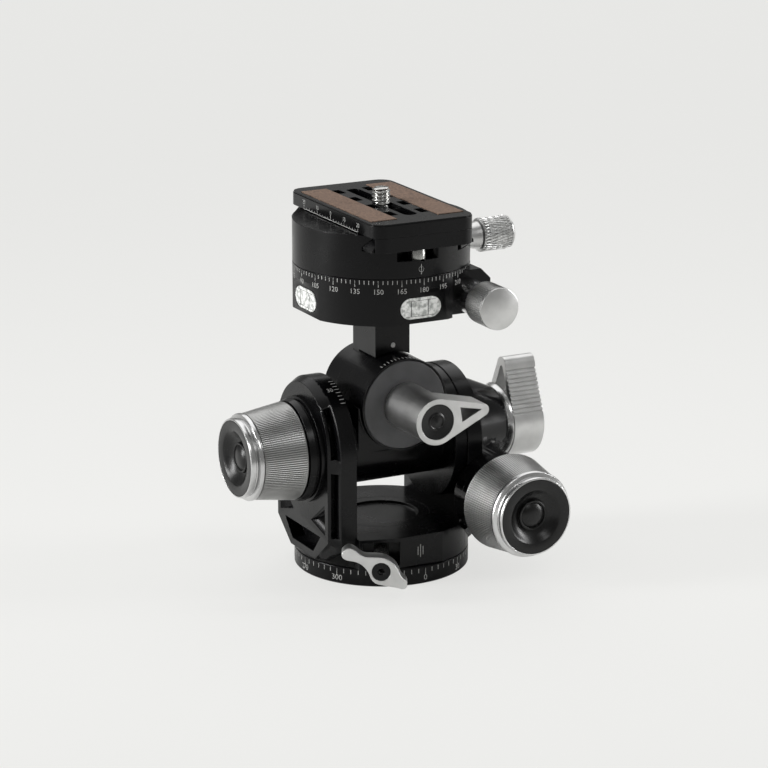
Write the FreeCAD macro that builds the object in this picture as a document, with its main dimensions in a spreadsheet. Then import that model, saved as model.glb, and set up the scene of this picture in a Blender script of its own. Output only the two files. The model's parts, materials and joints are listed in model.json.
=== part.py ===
"""Geared tripod head: a panning base, a geared tilt, a geared roll and a geared panning clamp.

Frame: origin at the centre of the base's underside on the pan axis, +Z up, millimetres.
-Y is the front, where the roll release and the tilt knob point; -X is the roll knob's side.
"""
import FreeCAD, Part
import math
import os
import Sketcher

V = FreeCAD.Vector
ROUND_X = FreeCAD.Rotation(V(0, 0, 1), V(1, 0, 0))
ROUND_Y = FreeCAD.Rotation(V(0, 0, 1), V(0, 1, 0))
ROUND_Z = FreeCAD.Rotation()

SIZES = {
    # clearances
    "running_gap": 0.05, "face_gap": 0.3, "fit_gap": 0.02,
    # tripod ring
    "base_radius": 30.0, "base_height": 6.2, "foot_recess_radius": 21.0, "foot_recess_depth": 0.6,
    "edge_break": 0.4, "journal_radius": 15.0, "socket_radius": 3.97, "socket_depth": 9.2,
    "insert_radius": 7.0, "insert_length": 10.2,
    # pan table and the keeper that holds it down
    "table_top": 17.0, "table_front": 28.8, "keeper_radius": 16.4, "keeper_thick": 2.2,
    "keeper_spigot_radius": 9.0, "dish_radius": 12.1, "dish_depth": 0.9,
    "lug_side": 24.9, "lug_slot_width": 12.6, "lug_slot_depth": 7.0, "lug_skin": 1.2,
    # pan lock
    "lock_angle": 27.5, "lock_level": 12.0, "lock_face": 49.0, "lock_thick": 5.4, "lock_hub_radius": 4.4,
    "lock_tip_reach": 11.5, "lock_tip_rise": 6.6, "lock_tip_radius": 2.0, "lock_tail_reach": 6.4,
    "lock_tail_drop": 3.4, "lock_tail_radius": 1.8, "lock_shaft_radius": 2.5, "lock_button_radius": 3.1,
    "lock_button_thick": 1.2, "lock_hex_radius": 1.2, "lock_shaft_inner": 19.5, "shoe_length": 3.4,
    # uprights
    "tilt_level": 44.0, "upright_inner": 21.2, "upright_outer": 26.8, "upright_face": 30.2,
    "arch_radius": 23.2, "face_half_width": 19.3, "face_arch_level": 46.3, "upright_foot": 7.4,
    "plate_shoulder": 14.8, "face_shoulder": 15.6, "plate_foot_half": 13.5, "face_foot_half": 9.3,
    "bearing_radius": 13.0, "tilt_journal_radius": 11.5, "pocket_depth": 5.0,
    "slot_inner_radius": 17.8, "tilt_flange_radius": 23.0, "tilt_flange_inner": 16.6,
    # tilt gear housing and release key
    "housing_reach": 43.0, "housing_root_radius": 19.5, "housing_nose_radius": 12.2,
    "tilt_wheel_radius": 12.9, "tilt_wheel_centre": 30.4, "wheel_width": 7.0, "tilt_worm_level": 26.0,
    "worm_radius": 4.8, "worm_length": 17.0, "worm_pitch": 2.1, "worm_shaft_radius": 3.0, "gear_gap": 0.3,
    "key_outer": 57.0, "key_inner": 45.3, "key_radius": 13.2, "collar_radius": 12.9, "key_tip_rise": 21.4,
    "key_tip_radius": 3.0, "key_tip_lean": 3.2, "clutch_radius": 3.5,
    # gear knobs
    "knob_radius": 16.8, "knob_nose_radius": 14.7, "knob_grip_length": 15.4, "knob_length": 19.8,
    "knob_rim_radius": 13.8, "knob_bead_radius": 15.0, "knob_cap_radius": 12.1, "knob_rib_depth": 0.45,
    "knob_rib_count": 40, "knob_recess_radius": 11.0, "knob_recess_depth": 8.0, "cap_dome_radius": 3.8,
    "knob_seat": 35.6, "tilt_knob_seat": 33.8, "boss_radius": 17.6, "boss_root_radius": 18.2,
    # tilt carriage
    "roll_level": 59.7, "tilt_drum_radius": 14.2, "barrel_radius": 16.0, "barrel_front": 17.3,
    "barrel_back": 3.6, "cover_radius": 15.3, "cover_thick": 1.6, "spindle_radius": 6.0,
    "roll_wheel_radius": 10.6, "roll_wheel_width": 5.6,
    # roll release
    "lever_face": 40.5, "lever_radius": 7.9, "lever_wing": 10.0, "lever_tip_reach": 17.3,
    "lever_tip_rise": 1.9, "lever_tip_radius": 2.1, "lever_cap_radius": 6.1,
    # roll carrier and post
    "rear_drum_radius": 15.5, "rear_drum_back": 13.0, "post_width": 13.0, "post_depth": 16.6,
    "post_clear_radius": 16.4, "pan_floor": 90.8,
    # panning clamp
    "drum_radius": 30.0, "pan_seam": 106.6, "clamp_seam": 106.8, "drum_top": 121.4, "level_flat": 28.2,
    "level_zone": 97.3, "level_length": 16.0, "level_height": 7.9, "level_inset": 1.4, "wheel_radius": 16.1,
    "pan_worm_radius": 4.2, "pan_axis_offset": 20.6, "pan_axis_level": 96.8, "gearbox_half": 8.0,
    "gearbox_outer": 28.8, "gearbox_front": 24.0, "gearbox_chamfer": 3.6, "neck_radius": 5.8,
    "neck_front": 33.4, "pan_knob_radius": 7.2, "pan_knob_face": 45.0, "pan_spigot_radius": 9.0,
    # jaw, clamp knob and plate
    "jaw_split": 16.1, "jaw_gap": 1.8, "jaw_floor": 113.6, "tongue_half": 9.0, "tongue_split": 21.0,
    "clamp_level": 110.8, "clamp_knob_radius": 5.8, "clamp_knob_inner": 38.6, "clamp_knob_outer": 51.6,
    "clamp_neck_radius": 3.9, "clamp_screw_radius": 2.5, "slot_half": 16.4, "slot_wide_half": 19.2,
    "slot_floor": 116.2, "plate_top": 126.3, "plate_half_width": 19.0, "plate_half_length": 32.3,
    "plate_slab": 4.6, "plate_neck_half": 16.1, "plate_tail_half": 18.9, "plate_bottom": 116.6,
    "plate_corner": 4.8, "lip_drop": 9.6, "lip_thick": 2.0, "strip_width": 9.6, "strip_length": 52.0,
    "strip_thick": 0.7, "strip_centre": 12.4, "strip_sink": 0.5, "window_width": 3.6, "window_length": 20.0,
    "camera_screw_radius": 3.1, "camera_screw_rise": 5.0, "camera_head_radius": 6.6, "camera_head_thick": 3.0,
}

doc = FreeCAD.newDocument("GearedHead")


class Size:
    """A number kept together with the formula that gives it from the sheet."""

    def __init__(self, value, formula):
        self.value = value
        self.formula = formula

    def __add__(self, other):
        return join(self, "+", other)

    def __radd__(self, other):
        return join(other, "+", self)

    def __sub__(self, other):
        return join(self, "-", other)

    def __rsub__(self, other):
        return join(other, "-", self)

    def __mul__(self, other):
        return join(self, "*", other)

    def __rmul__(self, other):
        return join(other, "*", self)

    def __truediv__(self, other):
        return join(self, "/", other)

    def __neg__(self):
        return Size(-self.value, "(-" + self.formula + ")")

    def __float__(self):
        return float(self.value)


def as_size(number):
    return number if isinstance(number, Size) else Size(float(number), repr(float(number)))


def join(left, sign, right):
    left, right = as_size(left), as_size(right)
    results = {"+": left.value + right.value, "-": left.value - right.value, "*": left.value * right.value}
    value = results[sign] if sign in results else left.value / right.value
    return Size(value, "(" + left.formula + sign + right.formula + ")")


class Dimensions:
    """Reads a size of the sheet by its name."""

    def __getattr__(self, name):
        return Size(SIZES[name], "Sizes." + name)


def write_sheet():
    sheet = doc.addObject("Spreadsheet::Sheet", "Sizes")
    for row, (name, value) in enumerate(SIZES.items(), start=1):
        sheet.set("A%d" % row, name)
        sheet.set("B%d" % row, repr(value))
        sheet.setAlias("B%d" % row, name)
    doc.recompute()
    return sheet


write_sheet()
d = Dimensions()


# Helpers that make one feature each, bound to the sheet

def bind(item, field, size):
    """Sets a field of a feature to a number, or ties it to the sheet."""
    if isinstance(size, Size):
        item.setExpression(field, size.formula)
    else:
        setattr(item, field, size)


def place(item, at, turn):
    item.Placement = FreeCAD.Placement(V(*[float(c) for c in at]), turn)
    for axis, size in zip("xyz", at):
        if isinstance(size, Size):
            item.setExpression("Placement.Base." + axis, size.formula)
    return item


def cylinder(radius, length, at, turn=ROUND_Z):
    item = doc.addObject("Part::Cylinder", "Round")
    bind(item, "Radius", radius)
    bind(item, "Height", length)
    return place(item, at, turn)


def cone(radius_start, radius_end, length, at, turn=ROUND_Z):
    item = doc.addObject("Part::Cone", "Taper")
    bind(item, "Radius1", radius_start)
    bind(item, "Radius2", radius_end)
    bind(item, "Height", length)
    return place(item, at, turn)


def block(low, high, turn=ROUND_Z):
    """A box between two corners, each corner given as three sizes."""
    item = doc.addObject("Part::Box", "Block")
    for field, start, end in zip(("Length", "Width", "Height"), low, high):
        bind(item, field, as_size(end) - start)
    return place(item, low, turn)


def fuse(*items):
    item = doc.addObject("Part::MultiFuse", "Joined")
    item.Shapes = list(items)
    return item


def cut(base, *tools):
    for tool in tools:
        item = doc.addObject("Part::Cut", "Cut")
        item.Base = base
        item.Tool = tool
        base = item
    return base


def common(one, two):
    item = doc.addObject("Part::MultiCommon", "Shared")
    item.Shapes = [one, two]
    return item


PARTS = []


def node(name, item):
    """Names the finished sub-part and lists it for writing."""
    item.Label = name
    PARTS.append((name, item))
    return item


def outline(body, plane, loops, offset=0.0):
    """A sketch of closed loops on one of the body's planes, every corner tied to the sheet.

    A loop is a list of corners (x, y), or (x, y, centre x, centre y, turn) for an arc that
    reaches the corner round that centre, anticlockwise for turn 1 and clockwise for turn -1.
    A circle is ("circle", centre x, centre y, radius).
    """
    sketch = body.newObject("Sketcher::SketchObject", "Outline")
    origin_plane = [part for part in body.Origin.OriginFeatures if part.Role == plane][0]
    sketch.AttachmentSupport = [(origin_plane, "")]
    sketch.MapMode = "FlatFace"
    if isinstance(offset, Size):
        sketch.setExpression("AttachmentOffset.Base.z", offset.formula)
    elif offset:
        sketch.AttachmentOffset = FreeCAD.Placement(V(0, 0, offset), FreeCAD.Rotation())
    for loop in loops:
        if loop[0] == "circle":
            add_circle(sketch, *loop[1:])
        else:
            add_loop(sketch, loop)
    return sketch


def fix(sketch, kind, geometry, point, size):
    size = as_size(size)
    number = sketch.addConstraint(Sketcher.Constraint(kind, -1, 1, geometry, point, size.value))
    sketch.setExpression("Constraints[%d]" % number, size.formula)


def add_circle(sketch, centre_x, centre_y, radius):
    centre = V(float(centre_x), float(centre_y), 0)
    number = sketch.addGeometry(Part.Circle(centre, V(0, 0, 1), float(radius)))
    fix(sketch, "DistanceX", number, 3, centre_x)
    fix(sketch, "DistanceY", number, 3, centre_y)
    constraint = sketch.addConstraint(Sketcher.Constraint("Radius", number, float(radius)))
    sketch.setExpression("Constraints[%d]" % constraint, as_size(radius).formula)


def add_loop(sketch, loop):
    """Lines and arcs round a loop. Each one is fixed at its start, and an arc at its centre too."""
    pieces = []
    for index, corner in enumerate(loop):
        start = loop[index - 1]
        first = V(float(start[0]), float(start[1]), 0)
        last = V(float(corner[0]), float(corner[1]), 0)
        if len(corner) == 2:
            number = sketch.addGeometry(Part.LineSegment(first, last))
            pieces.append((number, 1, 2, start, corner, None))
            continue
        centre = V(float(corner[2]), float(corner[3]), 0)
        circle = Part.Circle(centre, V(0, 0, 1), (first - centre).Length)
        ends = (first, last) if corner[4] > 0 else (last, first)
        angles = [math.atan2(end.y - centre.y, end.x - centre.x) for end in ends]
        if angles[1] <= angles[0]:
            angles[1] += 2 * math.pi
        number = sketch.addGeometry(Part.ArcOfCircle(circle, *angles))
        first_end, last_end = (1, 2) if corner[4] > 0 else (2, 1)
        pieces.append((number, first_end, last_end, start, corner, centre))
    for index, (number, first_end, last_end, start, corner, centre) in enumerate(pieces):
        following = pieces[(index + 1) % len(pieces)]
        sketch.addConstraint(Sketcher.Constraint("Coincident", number, last_end, following[0], following[1]))
        if centre is not None:
            fix(sketch, "DistanceX", number, 3, corner[2])
            fix(sketch, "DistanceY", number, 3, corner[3])
        before = pieces[index - 1]
        if before[5] is None:
            fix(sketch, "DistanceX", number, first_end, start[0])
            fix(sketch, "DistanceY", number, first_end, start[1])
            continue
        # the arc before already ties this corner to its circle, so one coordinate settles it
        arm = V(float(start[0]), float(start[1]), 0) - before[5]
        if abs(arm.x) > abs(arm.y):
            fix(sketch, "DistanceY", number, first_end, start[1])
        else:
            fix(sketch, "DistanceX", number, first_end, start[0])


def new_body(name):
    return doc.addObject("PartDesign::Body", name)


def pad(body, sketch, length, reverse=False, midplane=False):
    feature = body.newObject("PartDesign::Pad", "Pad")
    feature.Profile = sketch
    feature.Reversed = reverse
    feature.Midplane = midplane
    bind(feature, "Length", length)
    return feature


def pocket(body, sketch, length, reverse=False, midplane=False):
    feature = body.newObject("PartDesign::Pocket", "Pocket")
    feature.Profile = sketch
    feature.Reversed = reverse
    feature.Midplane = midplane
    bind(feature, "Length", length)
    return feature


def revolve(body, sketch, axis):
    feature = body.newObject("PartDesign::Revolution", "Revolution")
    feature.Profile = sketch
    feature.ReferenceAxis = (sketch, [axis])
    feature.Angle = 360.0
    return feature


def turned(name, profile):
    """A turned piece about its own Z axis. The profile's corners are (radius, height)."""
    body = new_body(name)
    revolve(body, outline(body, "XZ_Plane", [profile]), "V_Axis")
    return body


def slab(name, plane, loops, start, end):
    """A flat piece between two heights on the axis that is square to the plane."""
    body = new_body(name)
    offset = -as_size(end) if plane == "XZ_Plane" else as_size(start)
    pad(body, outline(body, plane, loops, offset), as_size(end) - start)
    return body


def toothed_disc(name, tip_radius, width, bore_radius, count):
    """A worm wheel about its own Z axis with a gap cut between each pair of teeth."""
    body = new_body(name)
    pad(body, outline(body, "XY_Plane", [("circle", 0, 0, tip_radius), ("circle", 0, 0, bore_radius)]), width)
    gap = math.pi * float(tip_radius) / count * 0.5
    depth = float(tip_radius) * 0.09
    notch = [(tip_radius - depth, -gap / 2), (tip_radius + 1, -gap), (tip_radius + 1, gap),
             (tip_radius - depth, gap / 2)]
    feature = pocket(body, outline(body, "XY_Plane", [notch]), width, reverse=True)
    pattern = body.newObject("PartDesign::PolarPattern", "Teeth")
    pattern.Originals = [feature]
    pattern.Axis = ([part for part in body.Origin.OriginFeatures if part.Role == "Z_Axis"][0], [""])
    pattern.Angle = 360.0
    pattern.Occurrences = count
    body.Tip = pattern
    return body


def worm_profile(shaft_radius, crest_radius, pitch, start, low, high, end):
    """Corners (radius, height) of a shaft with thread crests between low and high."""
    corners = [(0, start), (shaft_radius, start)]
    turns = int(float(as_size(high) - low) / pitch)
    for turn in range(turns):
        foot = low + turn * pitch
        corners += [(shaft_radius, foot), (crest_radius, foot + pitch * 0.3)]
        corners += [(crest_radius, foot + pitch * 0.6), (shaft_radius, foot + pitch * 0.9)]
    return corners + [(shaft_radius, end), (0, end)]


def polar(radius, degrees, centre_y, centre_z):
    angle = math.radians(degrees)
    return (centre_y + radius * math.cos(angle), centre_z + radius * math.sin(angle))


TO_LEFT = FreeCAD.Rotation(V(0, 0, 1), V(-1, 0, 0))
TO_FRONT = FreeCAD.Rotation(V(0, 0, 1), V(0, -1, 0))


# The tripod ring and the table that pans on it

def build_base():
    journal_top = d.table_top - d.keeper_thick - d.fit_gap
    spigot_floor = d.insert_length + 0.6
    bore = d.insert_radius + d.fit_gap
    spigot = d.keeper_spigot_radius + d.fit_gap
    flange_top = d.base_height
    node("base_ring", turned("base_ring", [
        (bore, 0), (bore + 3, 0), (bore + 3.6, d.foot_recess_depth),
        (d.foot_recess_radius, d.foot_recess_depth),
        (d.foot_recess_radius + 0.5, 0), (d.base_radius - d.edge_break, 0), (d.base_radius, d.edge_break),
        (d.base_radius, flange_top - d.edge_break), (d.base_radius - d.edge_break, flange_top),
        (bore, flange_top)]))
    node("pan_journal", turned("pan_journal", [
        (bore, flange_top), (d.journal_radius, flange_top), (d.journal_radius, journal_top),
        (spigot, journal_top),
        (spigot, spigot_floor), (bore, spigot_floor)]))
    node("tripod_socket_insert", turned("tripod_socket_insert", [
        (d.socket_radius, 0), (d.insert_radius, 0), (d.insert_radius, d.insert_length),
        (0, d.insert_length), (0, d.socket_depth), (d.socket_radius, d.socket_depth)]))
    flange = d.table_top - d.keeper_thick
    node("pan_keeper", turned("pan_keeper", [
        (0, spigot_floor + 0.1), (d.keeper_spigot_radius, spigot_floor + 0.1),
        (d.keeper_spigot_radius, flange),
        (d.keeper_radius, flange), (d.keeper_radius, d.table_top), (d.dish_radius + 0.6, d.table_top),
        (d.dish_radius, d.table_top - d.dish_depth), (0, d.table_top - d.dish_depth)]))


def side_segment(side):
    """The part of the round table that lies outside an upright's inner face."""
    disc = cylinder(d.base_radius, d.table_top - table_bottom(), (0, 0, table_bottom()))
    low = d.upright_inner if side > 0 else -d.base_radius
    high = d.base_radius if side > 0 else -d.upright_inner
    return common(disc, block((low, -d.base_radius, 0), (high, d.base_radius, d.table_top + 1)))


def table_bottom():
    return d.base_height + 0.2


def turned_to_lock(item):
    item.Placement = FreeCAD.Placement(V(0, 0, 0), FreeCAD.Rotation(V(0, 0, 1), -SIZES["lock_angle"]))
    item.setExpression("Placement.Rotation.Angle", "-Sizes.lock_angle")
    return item


def build_table():
    bottom = table_bottom()
    disc = cylinder(d.base_radius, d.table_top - bottom, (0, 0, bottom))
    middle = common(disc, block((-d.upright_inner, -d.table_front, 0),
                                (d.upright_inner, d.base_radius, d.table_top + 1)))
    corner = -(d.base_radius * 0.267)
    lug = slab("lug", "XY_Plane", [[
        (corner, -d.table_front), (corner, -d.journal_radius), (-d.upright_inner, -d.journal_radius),
        (-d.upright_inner, -d.lug_side)]], bottom, d.table_top)
    slot_inner = d.table_front - d.lug_slot_depth
    slot = turned_to_lock(slab("slot", "XY_Plane", [[
        (-d.lug_slot_width / 2, -slot_inner), (d.lug_slot_width / 2, -slot_inner),
        (d.lug_slot_width / 2, -(d.base_radius + 8)), (-d.lug_slot_width / 2, -(d.base_radius + 8))]],
        d.lock_level - d.lock_hub_radius, d.table_top - d.lug_skin))
    bore = turned_to_lock(slab("bore", "XZ_Plane",
                               [("circle", 0, d.lock_level, d.lock_shaft_radius + d.running_gap)],
                               -d.base_radius, -d.journal_radius + 2))
    table = cut(
        fuse(middle, lug), slot, bore,
        cylinder(d.journal_radius + d.running_gap, d.table_top, (0, 0, 0)),
        cylinder(d.keeper_radius + 0.2, d.keeper_thick + 1.2, (0, 0, d.table_top - d.keeper_thick - 0.2)),
        cylinder(d.journal_radius + 5.5, 0.8, (0, 0, bottom)))
    node("pan_table", table)
    washer_low = d.base_height + d.fit_gap
    node("pan_thrust_washer", turned("pan_thrust_washer", [
        (d.journal_radius + 0.3, washer_low), (d.journal_radius + 5.2, washer_low),
        (d.journal_radius + 5.2, bottom + 0.7), (d.journal_radius + 0.3, bottom + 0.7)]))


def build_pan_lock():
    back = d.lock_face - d.lock_thick
    level = d.lock_level
    hub, tip, tail = d.lock_hub_radius, d.lock_tip_radius, d.lock_tail_radius
    tip_at = (-d.lock_tip_reach, level + d.lock_tip_rise)
    tail_at = (d.lock_tail_reach, level - d.lock_tail_drop)
    wing = [
        (tip_at[0], tip_at[1] + tip), (tip_at[0] - tip, tip_at[1], tip_at[0], tip_at[1], 1),
        (tip_at[0] - tip, tip_at[1] - tip), (-hub * 0.75, level - hub * 0.66),
        (tail_at[0], tail_at[1] - tail),
        (tail_at[0] + tail, tail_at[1], tail_at[0], tail_at[1], 1), (hub * 0.66, level + hub * 0.75),
        (-hub * 0.5, level + hub * 0.86)]
    lever = fuse(slab("wing", "XZ_Plane", [wing], -d.lock_face, -back),
                 slab("hub", "XZ_Plane", [("circle", 0, level, hub)], -d.lock_face, -back))
    seat = slab("seat", "XZ_Plane", [("circle", 0, level, d.lock_button_radius + d.fit_gap)],
                -d.lock_face - 1, -d.lock_face + d.lock_button_thick)
    node("pan_lock_lever", turned_to_lock(cut(lever, seat)))
    corners = [(d.lock_hex_radius * math.cos(math.radians(60 * k)), level + d.lock_hex_radius * math.sin(
        math.radians(60 * k))) for k in range(6)]
    button = new_body("pan_lock_button")
    pad(button, outline(button, "XZ_Plane", [("circle", 0, level, d.lock_button_radius), corners],
                        d.lock_face - d.lock_button_thick + d.fit_gap), d.lock_button_thick)
    node("pan_lock_button", turned_to_lock(button))
    shaft = slab("pan_lock_shaft", "XZ_Plane", [("circle", 0, level, d.lock_shaft_radius)], -back,
                 -d.lock_shaft_inner)
    node("pan_lock_shaft", turned_to_lock(shaft))
    shoe_front = d.lock_shaft_inner - 0.3
    shoe = slab("pan_brake_shoe", "XZ_Plane", [("circle", 0, level, d.lock_shaft_radius - 0.1)],
                -shoe_front, -(shoe_front - d.shoe_length))
    node("pan_brake_shoe", turned_to_lock(shoe))


# The two uprights and what is fixed to them

def plate_outline():
    radius, level = d.arch_radius, d.tilt_level
    return [
        (radius, level), (-radius, level, 0, level, 1), (-radius, d.plate_shoulder),
        (-d.plate_foot_half, d.upright_foot), (d.plate_foot_half, d.upright_foot), (radius, d.plate_shoulder)]


def face_outline():
    radius, level = d.face_half_width, d.face_arch_level
    return [
        (radius, level), (-radius, level, 0, level, 1), (-radius, d.face_shoulder),
        (-d.face_foot_half, d.upright_foot), (d.face_foot_half, d.upright_foot), (radius, d.face_shoulder)]


def edge_slots():
    """Two slots in each bevelled edge of the left upright: a curved one above a straight one."""
    inner, outer = d.slot_inner_radius, d.arch_radius + 2
    start, end = -(d.upright_face - 0.8), -(d.upright_outer + 0.5)
    slots = []
    for side in (-1, 1):
        low, high = (132, 177) if side < 0 else (3, 48)
        centre = (0, d.tilt_level)
        curved = [
            polar(outer, low, *centre), polar(outer, high, *centre) + centre + (1,),
            polar(inner, high, *centre), polar(inner, low, *centre) + centre + (-1,)]
        straight = [
            (side * inner, d.face_shoulder + 2), (side * outer, d.face_shoulder + 2),
            (side * outer, d.tilt_level - 3.6), (side * inner, d.tilt_level - 3.6)]
        slots += [slab("slot", "YZ_Plane", [loop], start, end) for loop in (curved, straight)]
    return slots


def face_pockets():
    """The three lightening pockets in the outer face of the left upright."""
    foot, shoulder, half = d.upright_foot, d.face_shoulder, d.face_half_width
    loops = [[(-(d.face_foot_half - 1.2), foot + 2.4), (d.face_foot_half - 1.2, foot + 2.4),
              (half - 5.6, shoulder + 0.8), (-(half - 5.6), shoulder + 0.8)]]
    for side in (-1, 1):
        loops.append([(side * 6.4, shoulder + 5), (side * (half - 2), shoulder + 2.2),
                      (side * (half - 2.2), shoulder + 13)])
    return [slab("pocket", "YZ_Plane", [loop], -(d.upright_face + 1), -(d.upright_face - d.pocket_depth))
            for loop in loops]


def build_uprights():
    left = new_body("left_plate")
    pad(left, outline(left, "YZ_Plane", [plate_outline()], -d.upright_outer),
        d.upright_outer - d.upright_inner)
    loft = left.newObject("PartDesign::AdditiveLoft", "Bevel")
    loft.Profile = outline(left, "YZ_Plane", [plate_outline()], -d.upright_outer)
    loft.Sections = [outline(left, "YZ_Plane", [face_outline()], -d.upright_face)]
    loft.Ruled = True
    left_bore = cylinder(d.bearing_radius + d.fit_gap, 12, (-(d.upright_face + 1), 0, d.tilt_level), ROUND_X)
    node("left_upright", cut(fuse(left, side_segment(-1)), left_bore, *(edge_slots() + face_pockets())))
    right = slab("right_plate", "YZ_Plane", [plate_outline()], d.upright_inner, d.upright_outer)
    right_bore = cylinder(d.bearing_radius + d.fit_gap, 12, (d.upright_inner - 1, 0, d.tilt_level), ROUND_X)
    worm_room = cylinder(d.worm_radius + d.gear_gap, d.worm_length + 1.2,
                         (d.tilt_wheel_centre, -d.worm_length / 2 - 0.6, d.tilt_worm_level), ROUND_Y)
    node("right_upright", cut(fuse(right, side_segment(1)), right_bore, worm_room))
    bush = [(d.tilt_journal_radius + d.running_gap, 0), (d.bearing_radius, 0)]
    for name, start, length, turn in (
            ("left_tilt_bush", -(d.upright_inner + 0.1), d.upright_face - d.upright_inner - 0.2, TO_LEFT),
            ("right_tilt_bush", d.upright_inner + 0.1, d.upright_outer - d.upright_inner - 0.2, ROUND_X)):
        ring = turned(name,
                      bush + [(d.bearing_radius, length), (d.tilt_journal_radius + d.running_gap, length)])
        node(name, place(ring, (start, 0, d.tilt_level), turn))


def boss_ring(name, length):
    """The black stepped ring behind a gear knob, about its own axis."""
    bore = d.worm_shaft_radius + 0.3
    return turned(name, [
        (bore, 0), (d.boss_root_radius, 0), (d.boss_root_radius, length * 0.3),
        (d.boss_radius - 0.7, length * 0.36),
        (d.boss_radius - 0.7, length * 0.5), (d.boss_radius, length * 0.56), (d.boss_radius - 0.6, length),
        (bore, length)])


def build_housing():
    axis = d.tilt_level
    reach = d.housing_reach - d.upright_outer
    nose = cone(d.housing_root_radius, d.housing_nose_radius, reach, (d.upright_outer, 0, axis), ROUND_X)
    front = d.tilt_knob_seat - 5.6
    centre, level = d.tilt_wheel_centre, d.tilt_worm_level
    worm_case = cylinder(d.boss_radius - 0.6, front + 14, (centre, -front, level), ROUND_Y)
    behind = block((0, -(d.arch_radius + 0.1), 0), (d.upright_outer, 30, 60))
    table_room = cylinder(d.base_radius + d.fit_gap, d.table_top + d.fit_gap, (0, 0, 0))
    wheel_room = cylinder(d.tilt_wheel_radius + d.gear_gap, d.wheel_width + 1.2,
                          (d.upright_outer - 0.4, 0, axis),
                          ROUND_X)
    worm_room = cylinder(d.worm_radius + d.gear_gap, d.worm_length + 1.2,
                         (centre, -d.worm_length / 2 - 0.6, level), ROUND_Y)
    shaft_bore = cylinder(d.worm_shaft_radius + d.running_gap, front + 2, (centre, -front - 1, level),
                          ROUND_Y)
    clutch_bore = cylinder(d.clutch_radius + d.running_gap, d.housing_reach, (d.upright_outer, 0, axis),
                           ROUND_X)
    key_room = cylinder(d.key_radius + 0.4, 20, (d.housing_reach, 0, axis), ROUND_X)
    node("tilt_gear_housing", cut(fuse(nose, cut(worm_case, behind, table_room)), wheel_room, worm_room,
                                  shaft_bore, clutch_bore, key_room))
    node("tilt_boss_ring", place(boss_ring("tilt_boss_ring", d.tilt_knob_seat - front - 0.4),
                                 (centre, -front, level), TO_FRONT))
    node("roll_boss_ring", place(boss_ring("roll_boss_ring", d.knob_seat - d.upright_face - 0.4),
                                 (-d.upright_face, 0, axis), TO_LEFT))
    collar = turned("release_collar", [
        (d.clutch_radius + 0.2, 0), (d.collar_radius - 0.6, 0), (d.collar_radius, 0.6),
        (d.collar_radius, 1.6),
        (d.collar_radius - 0.5, 2.0), (d.clutch_radius + 0.2, 2.0)])
    node("release_collar", place(collar, (d.housing_reach, 0, axis), ROUND_X))


# The gear knobs, each with its worm

def knob_shell(name):
    """A ribbed knob about its own axis, starting at its seat and growing towards its face."""
    grip, length = d.knob_grip_length, d.knob_length
    body = new_body(name)
    shaft = d.worm_shaft_radius + d.fit_gap
    profile = [
        (shaft, d.knob_recess_depth), (d.knob_recess_radius, d.knob_recess_depth), (d.knob_radius - 2.4, 0),
        (d.knob_radius - 0.5, 0), (d.knob_radius, 0.5), (d.knob_nose_radius, grip),
        (d.knob_bead_radius, grip + 0.5), (d.knob_bead_radius - 0.2, grip + 1.9),
        (d.knob_rim_radius - 0.3, grip + 2.5), (d.knob_rim_radius, grip + 3.0),
        (d.knob_rim_radius, length - 0.4), (d.knob_rim_radius - 0.4, length),
        (d.knob_cap_radius + d.fit_gap, length), (d.knob_cap_radius + d.fit_gap, length - 2.2),
        (shaft, length - 2.2)]
    revolve(body, outline(body, "XZ_Plane", [profile]), "V_Axis")
    drop = d.knob_rib_depth
    groove = [(d.knob_radius - drop, -1), (d.knob_radius + 1, -1), (d.knob_radius + 1, grip - 0.4),
              (d.knob_nose_radius - drop, grip - 0.4)]
    feature = pocket(body, outline(body, "XZ_Plane", [groove]), 0.5, midplane=True)
    pattern = body.newObject("PartDesign::PolarPattern", "Ribs")
    pattern.Originals = [feature]
    pattern.Axis = ([part for part in body.Origin.OriginFeatures if part.Role == "Z_Axis"][0], [""])
    pattern.Angle = 360.0
    pattern.setExpression("Occurrences", "Sizes.knob_rib_count")
    body.Tip = pattern
    return body


def knob_cap(name):
    """The dished black cap with a raised ring round a small dome."""
    radius, dome = d.knob_cap_radius, d.cap_dome_radius
    return turned(name, [
        (0, 0), (radius, 0), (radius, 1.9), (radius - 0.7, 1.9), (dome + 2.6, 1.1), (dome + 0.5, 1.0),
        (dome + 0.35, 1.35), (dome, 1.35), (dome - 0.2, 1.1), (1.4, 1.7), (0, 1.8)])


def build_gear_knob(prefix, at, turn, worm_distance):
    """Knob, cap and worm. worm_distance is from the knob's seat back to the worm's centre."""
    node(prefix + "_knob", place(knob_shell(prefix + "_knob"), at, turn))
    face = d.knob_length - 2.2 + d.fit_gap
    cap = place(knob_cap(prefix + "_knob_cap"), at, turn)
    forward = turn.multVec(V(0, 0, 1))
    for axis, base, share in zip("xyz", at, forward):
        cap.setExpression("Placement.Base." + axis, (as_size(base) + face * round(share)).formula)
    node(prefix + "_knob_cap", cap)
    half = d.worm_length / 2
    shaft = turned(prefix + "_worm", worm_profile(
        d.worm_shaft_radius, d.worm_radius, SIZES["worm_pitch"], -worm_distance - half,
        -worm_distance - half + 0.4,
        -worm_distance + half - 0.4, d.knob_length - 2.4))
    node(prefix + "_worm", place(shaft, at, turn))


# The tilt carriage

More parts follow.
